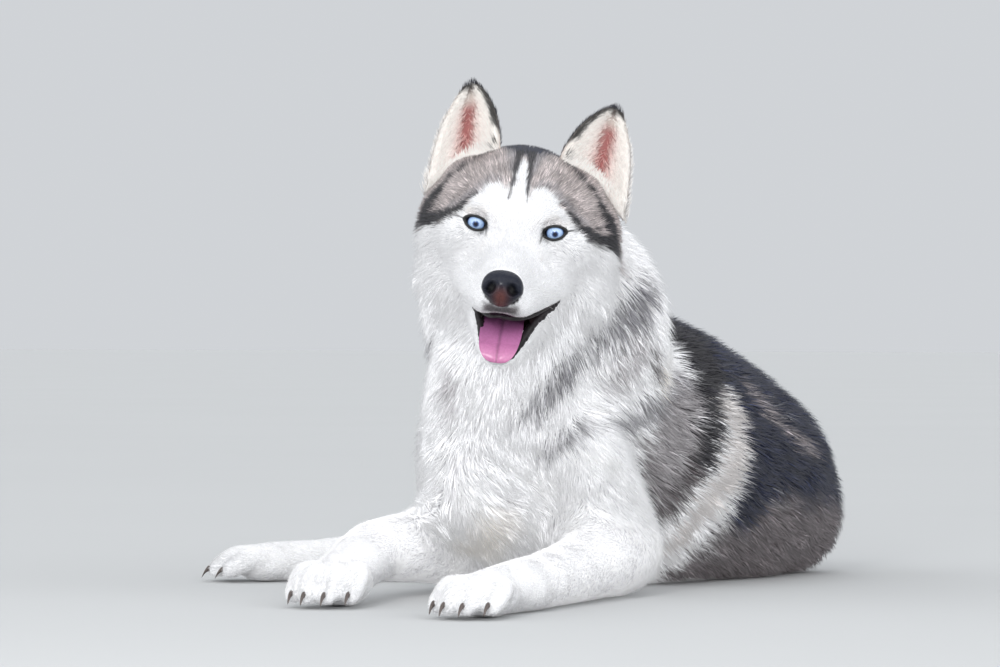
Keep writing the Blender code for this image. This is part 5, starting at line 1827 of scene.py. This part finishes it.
    def whiskers(self) -> None:
        """Set fine whiskers on both sides of the muzzle."""
        chance = np.random.default_rng(SEED + 5)
        stacks: list[Array] = []
        triangles: list[Array] = []
        count = 0
        for side in (1, -1):
            for row in range(3):
                for k in range(4):
                    root = np.array([side * (0.0235 + 0.0022 * k), -0.066 + 0.010 * k, -0.040 - 0.0045 * row])
                    way = unit(np.array([side * 1.0, 0.35 + 0.1 * k, 0.05 - 0.12 * row + 0.1 * chance.normal()]))
                    length = chance.uniform(0.028, 0.046)
                    t = np.linspace(0, 1, 8)[:, None]
                    path = root + way * t * length + np.array([0, 0.004, -0.009]) * t**2
                    loops = carried(path, HEAD_FRAME)
                    ahead = unit(np.gradient(loops, axis=0))
                    across, up = square_to(ahead)
                    radius = 0.00014 * (1 - t * 0.9)
                    ring = np.stack([loops + across * radius, loops - across * radius * 0.5 + up * radius * 0.87,
                                     loops - across * radius * 0.5 - up * radius * 0.87], axis=1)
                    base = count + np.arange(8 * 3).reshape(8, 3)
                    nearby = np.roll(base, -1, axis=1)
                    quads = np.concatenate([np.stack([base[:-1], nearby[:-1], nearby[1:]], -1).reshape(-1, 3),
                                            np.stack([base[:-1], nearby[1:], base[1:]], -1).reshape(-1, 3)])
                    stacks.append(ring.reshape(-1, 3))
                    triangles += [quads, base[:1, ::-1], base[-1:]]
                    count += 24
        made = smooth_shaded(triangle_object("whiskers", np.vstack(stacks), np.vstack(triangles)))
        made.data.materials.append(HornFinish("whisker_hair", (0.55, 0.54, 0.52), (0.85, 0.85, 0.85)).material())
        finished(made, "white_coat")


def tidy_loose(thing: bpy.types.Object) -> None:
    """Drop the vertices of an object that no face uses."""
    corners = triangles_of(thing)
    points = points_of(thing)
    used, renumbered = np.unique(corners, return_inverse=True)
    mesh = bpy.data.meshes.new(thing.data.name)
    mesh.from_pydata(points[used].tolist(), [], renumbered.reshape(-1, 3).tolist())
    old = thing.data
    thing.data = mesh
    bpy.data.meshes.remove(old)
    smooth_shaded(thing)


def material_once(name: str, make: Callable[[], bpy.types.Material]) -> bpy.types.Material:
    """Use a material that is there, or make it."""
    return bpy.data.materials.get(name) or make()


# The ears.


@dataclass
class Ears:
    """Both ears: a cupped shell each, with its own coat outside and long hair within."""

    base_in: tuple[float, float, float] = (0.025, 0.050, 0.058)
    base_out: tuple[float, float, float] = (0.090, 0.058, 0.014)
    tip: tuple[float, float, float] = (0.064, 0.046, 0.110)
    bulge_in: float = 0.008
    bulge_out: float = 0.009
    drift: tuple[float, float, float] = (0.0085, 0.0, 0.0)
    lean: float = 0.0030
    cup: float = 0.020
    thick: float = 0.0040
    tip_half: float = 0.0050
    inset: float = 0.0016

    def sheet(self, side: int, u: Array, v: Array, back: float) -> Array:
        """Find places on the ear.

        Args:
            side: 1 for the left ear and -1 for the right.
            u: Across the ear, from -1 at its inner edge to 1 at its outer edge.
            v: Up the ear, from 0 at its base to 1 at its tip.
            back: 0 for its front and 1 for its back.

        Returns:
            The places, in the dog's frame.
        """
        rise = np.maximum(v, 0.0)
        swell = np.sin(math.pi * np.minimum(rise, 1) ** 1.15).clip(0) ** 0.8
        tip = self.tip_half * rise**3
        base_in, base_out, top = (np.array(p) for p in (self.base_in, self.base_out, self.tip))
        inner = base_in + (top - base_in) * v[:, None]
        outer = base_out + (top - base_out) * v[:, None]
        inner[:, 0] -= self.bulge_in * swell + tip
        inner[:, 2] += 0.5 * self.bulge_in * swell
        outer[:, 0] += self.bulge_out * swell + tip
        outer[:, 2] -= 0.4 * tip
        reach = 1 - self.inset / 0.03
        at = inner + (outer - inner) * ((u * reach + 1) / 2)[:, None]
        bow = 1 - u * u
        at[:, 1] += self.cup * bow * (1 - 0.93 * rise**2) + back * self.thick * (0.35 + 0.65 * bow) * (1.25 - 0.65 * rise)
        at[:, 0] *= side
        drift = np.array(self.drift) + np.array([0, 0, -side * self.lean])
        return carried(at + drift * (0.25 + 0.75 * rise)[:, None], HEAD_FRAME)

    def build(self, markings: Markings) -> None:
        """Build both ears with their coats."""
        fur = bpy.data.materials["coat_short"]
        skin = SkinFinish("ear_skin").material()
        for side, name in ((1, "left"), (-1, "right")):
            self.shell(side, name, skin)
            self.outer_coat(side, name, fur)
            self.inner_coat(side, name, fur)
            self.fringe(side, name, fur)

    def shell(self, side: int, name: str, material: bpy.types.Material) -> None:
        """Make the cupped shell of an ear."""
        rows, columns = 40, 25
        v, u = np.meshgrid(np.linspace(-0.12, 0.985, rows), np.linspace(-1, 1, columns), indexing="ij")
        v = np.where(v < 0, v * (1 - 0.45 * (u + 1)), v)
        front = self.sheet(side, u.ravel(), v.ravel(), 0.0).reshape(rows, columns, 3)
        back = self.sheet(side, u.ravel(), v.ravel(), 1.0).reshape(rows, columns, 3)
        loops = np.concatenate([front, back[:, ::-1]], axis=1)
        clay = Clay()
        clay.loft(loops[:, ::-side])
        ear = smooth_shaded(clay.mesh_object(f"ear_shell_{name}"))
        cream = np.array([0.88, 0.77, 0.71])
        flesh = np.array([0.50, 0.19, 0.18])
        middle = np.exp(-(((u - 0.06) / 0.44) ** 2)) * smoothstep(0.02, 0.18, v) * (1 - smoothstep(0.60, 0.80, v))
        inside = cream + (flesh - cream) * middle[..., None]
        edge = np.maximum(smoothstep(0.80, 0.95, v), (1 - smoothstep(-0.97, -0.90, u)) * smoothstep(0.15, 0.3, v))
        inside = inside * (1 - 0.85 * edge[..., None])
        outside = np.tile(np.array([0.030, 0.030, 0.038]), (rows, columns, 1))
        tint = np.concatenate([inside, outside[:, ::-1]], axis=1)
        paint(ear, TINT, tint[:, ::-side].reshape(-1, 3))
        ear.data.materials.append(material)
        finished(ear, "ear_coat", f"ear_{name}")

    def scatter(self, side: int, u: Array, v: Array, back: float) -> tuple[Array, Array, Array, Array]:
        """Find places on an ear with the way out, the way up and the way across there."""
        step = 0.01
        at = self.sheet(side, u, v, back)
        up = unit(self.sheet(side, u, np.minimum(v + step, 1.0), back) - at + 1e-9)
        across = unit(self.sheet(side, u + step, v, back) - at)
        out = unit(np.cross(across, up)) * (1 if (side > 0) == (back < 0.5) else -1)
        facing = np.array(HEAD_FRAME)[:3, 1] * (1 if back > 0.5 else -1)
        out = out * np.sign(dots(out, facing[None]))
        return at, out, up, across

    def outer_coat(self, side: int, name: str, fur: bpy.types.Material) -> None:
        """Grow the short dense hair on the back and the edges of an ear."""
        chance = np.random.default_rng(SEED + 60 + side)
        count = 9000
        u = chance.uniform(-1, 1, count)
        v = 1 - np.sqrt(chance.uniform(0.0004, 1.15, count))
        at, out, up, across = self.scatter(side, u, v, 1.0)
        way = up + across * (0.12 * u + 0.35 * u * (u > 0) * (v < 0.6))[:, None] + 0.12 * chance.normal(size=(count, 3))
        white_edge = smoothstep(0.45, 0.80, u) * (1 - smoothstep(0.78, 0.92, v))
        colour = np.array([0.030, 0.030, 0.040]) + np.array([0.72, 0.70, 0.68]) * white_edge[:, None]
        tan = smoothstep(0.3, 1.0, waves(at, 0.02, 51))[:, None] * (1 - white_edge[:, None])
        colour = colour + np.array([0.10, 0.08, 0.07]) * tan
        flat = np.stack([0.5 + 0.47 * u, 0.03 + 0.94 * np.clip((v + 0.15) / 1.15, 0, 1)], axis=1)
        roots = Roots(at, out, way, np.full(count, 0.0020), np.full(count, 0.0085), np.full(count, 0.0011), colour,
                      np.full(count, 0.3), flat)
        maker = TuftMaker(None, SEED + 70 + side)
        piece = maker.make(f"coat_ear_back_{name}", roots, fur, False, 1.0, False)
        finished(piece, "grey_coat")

    def inner_coat(self, side: int, name: str, fur: bpy.types.Material) -> None:
        """Grow the pale long hair that comes in from both edges of an ear's cup."""
        chance = np.random.default_rng(SEED + 80 + side)
        count = 7500
        u = np.sign(chance.uniform(-1, 1, count)) * (1 - np.abs(chance.normal(0, 0.30, count))).clip(-0.2, 0.985)
        v = 1 - np.sqrt(chance.uniform(0.0009, 1.1, count))
        at, out, up, across = self.scatter(side, u, v, 0.0)
        inward = -np.sign(u) * (0.55 - 0.5 * np.maximum(v, 0))
        way = up + across * inward[:, None] + 0.16 * chance.normal(size=(count, 3))
        length = 0.013 * (1 - 0.45 * np.maximum(v, 0)) * (0.7 + 0.5 * np.abs(u))
        cream = np.array([0.93, 0.89, 0.85])
        pink = np.array([0.62, 0.31, 0.29])
        middle = np.exp(-(((u - 0.06) / 0.42) ** 2)) * (1 - smoothstep(0.60, 0.80, v))
        colour = cream + (pink - cream) * middle[:, None]
        edge = np.maximum(smoothstep(0.84, 0.96, v), (1 - smoothstep(-0.97, -0.90, u)) * smoothstep(0.15, 0.3, v))
        colour = colour * (1 - 0.93 * edge[:, None])
        flat = np.stack([0.5 + 0.47 * u, 0.03 + 0.94 * np.clip((v + 0.15) / 1.15, 0, 1)], axis=1)
        roots = Roots(at, out, way, np.full(count, 0.0034), length, np.full(count, 0.0010), colour,
                      np.full(count, 0.10), flat)
        maker = TuftMaker(None, SEED + 90 + side)
        piece = maker.make(f"coat_ear_front_{name}", roots, fur, True, 1.0, False)
        finished(piece, "ear_coat")


    def fringe(self, side: int, name: str, fur: bpy.types.Material) -> None:
        """Grow the longer pale hair round an ear's base and up its outer edge."""
        chance = np.random.default_rng(SEED + 100 + side)
        count = 4600
        low = chance.random(count) < 0.55
        u = np.where(low, chance.uniform(-0.95, 1, count), chance.uniform(0.70, 1.0, count))
        v = np.where(low, chance.uniform(-0.11, 0.05, count), chance.uniform(-0.10, 0.62, count))
        rear = chance.random(count) < 0.45
        at, out, up, across = self.scatter(side, u, v, 0.0)
        at_back, out_back, up_back, across_back = self.scatter(side, u, v, 1.0)
        at, out, up, across = (np.where(rear[:, None], b, f) for f, b in (
            (at, at_back), (out, out_back), (up, up_back), (across, across_back)))
        way = up + across * np.where(low & (u > 0.6), 0.30, 0.06)[:, None] + 0.17 * chance.normal(size=(count, 3))
        length = np.where(low, 0.0135, 0.0085)
        inner = (1 - smoothstep(-0.95, -0.78, u)) * smoothstep(-0.10, -0.02, v)
        dusk = np.maximum(inner, rear * (1 - smoothstep(0.45, 0.75, u)))
        colour = np.array([0.92, 0.89, 0.86]) * (1 - 0.94 * dusk[:, None])
        flat = np.stack([0.5 + 0.47 * u, 0.03 + 0.94 * np.clip((v + 0.15) / 1.15, 0, 1)], axis=1)
        roots = Roots(at, out, way, np.where(low, 0.0045, 0.0025), length, np.full(count, 0.0009), colour,
                      np.full(count, 0.08), flat)
        piece = TuftMaker(None, SEED + 110 + side).make(f"coat_ear_fringe_{name}", roots, fur, True, 1.0, False)
        finished(piece, "ear_coat")


# The claws.


@dataclass
class Claws:
    """A curved claw on every toe."""

    length: float = 0.0125
    radius: float = 0.0030

    def build(self) -> None:
        """Build the claws of all four feet."""
        horn = HornFinish("claw_horn", (0.035, 0.028, 0.026), (0.11, 0.085, 0.075)).material()
        for foot in FEET:
            clay = Clay()
            for x, ahead in foot.toes():
                t = np.linspace(0, 1, 12)
                y = -(ahead + 0.0045) - t * self.length * 0.80
                z = 0.0125 + 0.0022 * np.sin(t * math.pi * 0.6) - 0.0105 * t**2
                radius = self.radius * (1 - t) ** 0.55 + 0.0002
                angles = np.linspace(0, 2 * math.pi, 14, endpoint=False)
                loops = np.stack([x * 1.05 + np.cos(angles)[None] * radius[:, None] * 0.72, np.repeat(y[:, None], 14, 1),
                                  z[:, None] + np.sin(angles)[None] * radius[:, None]], axis=-1)
                loops[..., 2] = np.maximum(loops[..., 2], 0.0004)
                clay.loft(carried(loops.reshape(-1, 3), foot.matrix()).reshape(loops.shape))
            claws = smooth_shaded(clay.mesh_object(f"claws_{foot.name}"))
            claws.data.materials.append(horn)
            finished(claws, "nose_leather")


# Setting the pieces down.


def frame_shift() -> Vector:
    """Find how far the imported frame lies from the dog's own frame."""
    low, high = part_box("eye_left")
    return (low + high) / 2 - HEAD_FRAME @ Vector((EYE_SPREAD, EYE_BACK, 0))


SHIFT = frame_shift()


def finished(piece: bpy.types.Object, slot: str, *nodes: str) -> None:
    """Set a piece down on the frame.

    Args:
        piece: The piece.
        slot: Not used.
        nodes: The nodes that it stands for.
    """
    piece.data.transform(Matrix.Translation(SHIFT))
    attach(piece, ROOT_BODY)
    if nodes:
        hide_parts(*nodes)
    LOG.info("%s: %d faces", piece.name, len(piece.data.polygons))


# The studio.


@dataclass(frozen=True)
class Lamp:
    """A large soft light, far away."""

    name: str
    side: float
    height: float
    softness: float
    power: float
    colour: tuple[float, float, float] = (1.0, 1.0, 1.0)

    def build(self) -> None:
        """Hang the light."""
        data = bpy.data.lights.new(self.name, "SUN")
        data.angle = math.radians(self.softness)
        data.energy = self.power
        data.color = self.colour
        lamp = bpy.data.objects.new(self.name, data)
        lamp.rotation_euler = Euler((math.radians(90 - self.height), 0, math.radians(self.side)))
        bpy.context.scene.collection.objects.link(lamp)


@dataclass(frozen=True)
class Softbox:
    """A small light near the camera that shows in the eyes."""

    at: tuple[float, float, float] = (0.9, -2.3, 0.95)
    size: float = 0.55
    power: float = 20.0

    def build(self) -> None:
        """Hang the light so that it faces the head."""
        data = bpy.data.lights.new("softbox", "AREA")
        data.size = self.size
        data.energy = self.power
        lamp = bpy.data.objects.new("softbox", data)
        lamp.location = Vector(self.at) + SHIFT
        lamp.rotation_euler = (HEAD_FRAME.translation - Vector(self.at)).to_track_quat("-Z", "Y").to_euler()
        bpy.context.scene.collection.objects.link(lamp)


@dataclass
class Studio:
    """The floor, the lights and the camera."""

    turn: float = 36.0
    eye_level: tuple[float, float, float] = (2.066, -2.900, 0.236)
    focal: float = 140.4
    sensor: float = 36.0
    floor_half: float = 40.0
    lamps: tuple[Lamp, ...] = (
        Lamp("front_light", 26.0, 28.0, 60.0, 1.10, (1.0, 0.99, 0.975)),
        Lamp("top_light", 200.0, 68.0, 60.0, 0.8, (0.95, 0.975, 1.0)),
        Lamp("side_light", 88.0, 22.0, 60.0, 1.5, (0.97, 0.98, 1.0)),
        Lamp("far_light", -50.0, 25.0, 60.0, 0.9, (0.97, 0.98, 1.0)),
    )

    def build(self) -> None:
        """Build the whole studio."""
        self.floor()
        for lamp in self.lamps:
            lamp.build()
        Softbox().build()
        self.sky()
        self.camera()

    def floor(self) -> None:
        """Lay the floor."""
        half = self.floor_half
        floor = new_object("floor", np.array([(-half, -half, 0), (half, -half, 0), (half, half, 0), (-half, half, 0)]),
                           [(0, 1, 2, 3)])
        floor.data.materials.append(FloorFinish().material())

    def sky(self) -> None:
        """Surround the studio with even pale light."""
        world = bpy.data.worlds.new("studio")
        world.use_nodes = True
        background = world.node_tree.nodes["Background"]
        background.inputs["Color"].default_value = (0.93, 0.96, 1.0, 1)
        background.inputs["Strength"].default_value = 0.68
        bpy.context.scene.world = world
        bpy.context.scene.view_settings.view_transform = "Standard"

    def camera(self) -> None:
        """Set the camera at the photograph's angle."""
        data = bpy.data.cameras.new("camera")
        data.lens = self.focal
        data.sensor_width = self.sensor
        data.clip_end = 200
        camera = bpy.data.objects.new("camera", data)
        camera.location = Vector(self.eye_level) + SHIFT
        camera.rotation_euler = Euler((math.radians(90), 0, math.radians(self.turn)))
        bpy.context.scene.collection.objects.link(camera)
        bpy.context.scene.camera = camera


def bare_places(face_skin: Skin) -> Callable[[Array], Array]:
    """Say where no hair grows: in the eyes, on the nose and in the mouth.

    Args:
        face_skin: The skin with the measures of the lids.

    Returns:
        A function from places to yes or no.
    """
    hollow = carried(points_of(face_skin.hollow), HEAD_FRAME.inverted())
    corners = triangles_of(face_skin.hollow)
    tree = BVHTree.FromPolygons(hollow.tolist(), corners.tolist())

    def bare(points: Array) -> Array:
        """Say which places are bare."""
        near = carried(points, HEAD_FRAME.inverted())
        result = np.zeros(len(points), bool)
        for side in (1, -1):
            away = near - np.array(face_skin.eye_at(side))
            tilt = math.radians(side * face_skin.lid_tilt)
            u = away[:, 0] * math.cos(tilt) + away[:, 2] * math.sin(tilt)
            w = -away[:, 0] * math.sin(tilt) + away[:, 2] * math.cos(tilt)
            opening = (u / (face_skin.lid_half_width + 0.0010)) ** 2 + (w / (face_skin.lid_half_height + 0.0010)) ** 2
            result |= (opening < 1) & (away[:, 1] < 0.004)
            result |= np.linalg.norm(away, axis=1) < EYE_RADIUS + 0.0008
        nose = (near - np.array([0, -0.0845, -0.040])) / np.array([0.0176, 0.0150, 0.0152])
        result |= np.linalg.norm(nose, axis=1) < 1
        candidates = np.nonzero((near[:, 1] < 0.02) & (near[:, 2] < -0.050) & (near[:, 2] > -0.11)
                                & (np.abs(near[:, 0]) < 0.05))[0]
        for i in candidates:
            _, _, _, far = tree.find_nearest(near[i].tolist())
            if far < 0.0020:
                result[i] = True
        return result

    return bare


def main() -> None:
    """Build the dog, then the studio."""
    logging.basicConfig(level=logging.INFO, format="%(message)s")
    plan = CoatPlan()
    markings = Markings()
    skin = Skin(plan)
    surface = skin.build()
    coat = Coat(surface, plan, markings)
    pieces = coat.build(bare_places(skin))
    surface.data.materials.append(SkinFinish("skin_fur").material())
    finished(surface, "white_coat", "head", "jaw", "neck", "torso", "foreleg_left", "foreleg_right", "hindleg_left",
             "hindleg_right", "forepaw_left", "forepaw_right", "hindfoot_left", "hindfoot_right", "tail_base",
             "tail_end")
    for piece in pieces:
        finished(piece, "grey_coat" if "torso" in piece.name or "tail" in piece.name else "white_coat")
    Ears().build(markings)
    Face(skin).build()
    Claws().build()
    Studio().build()


if __name__ == "__main__":
    main()
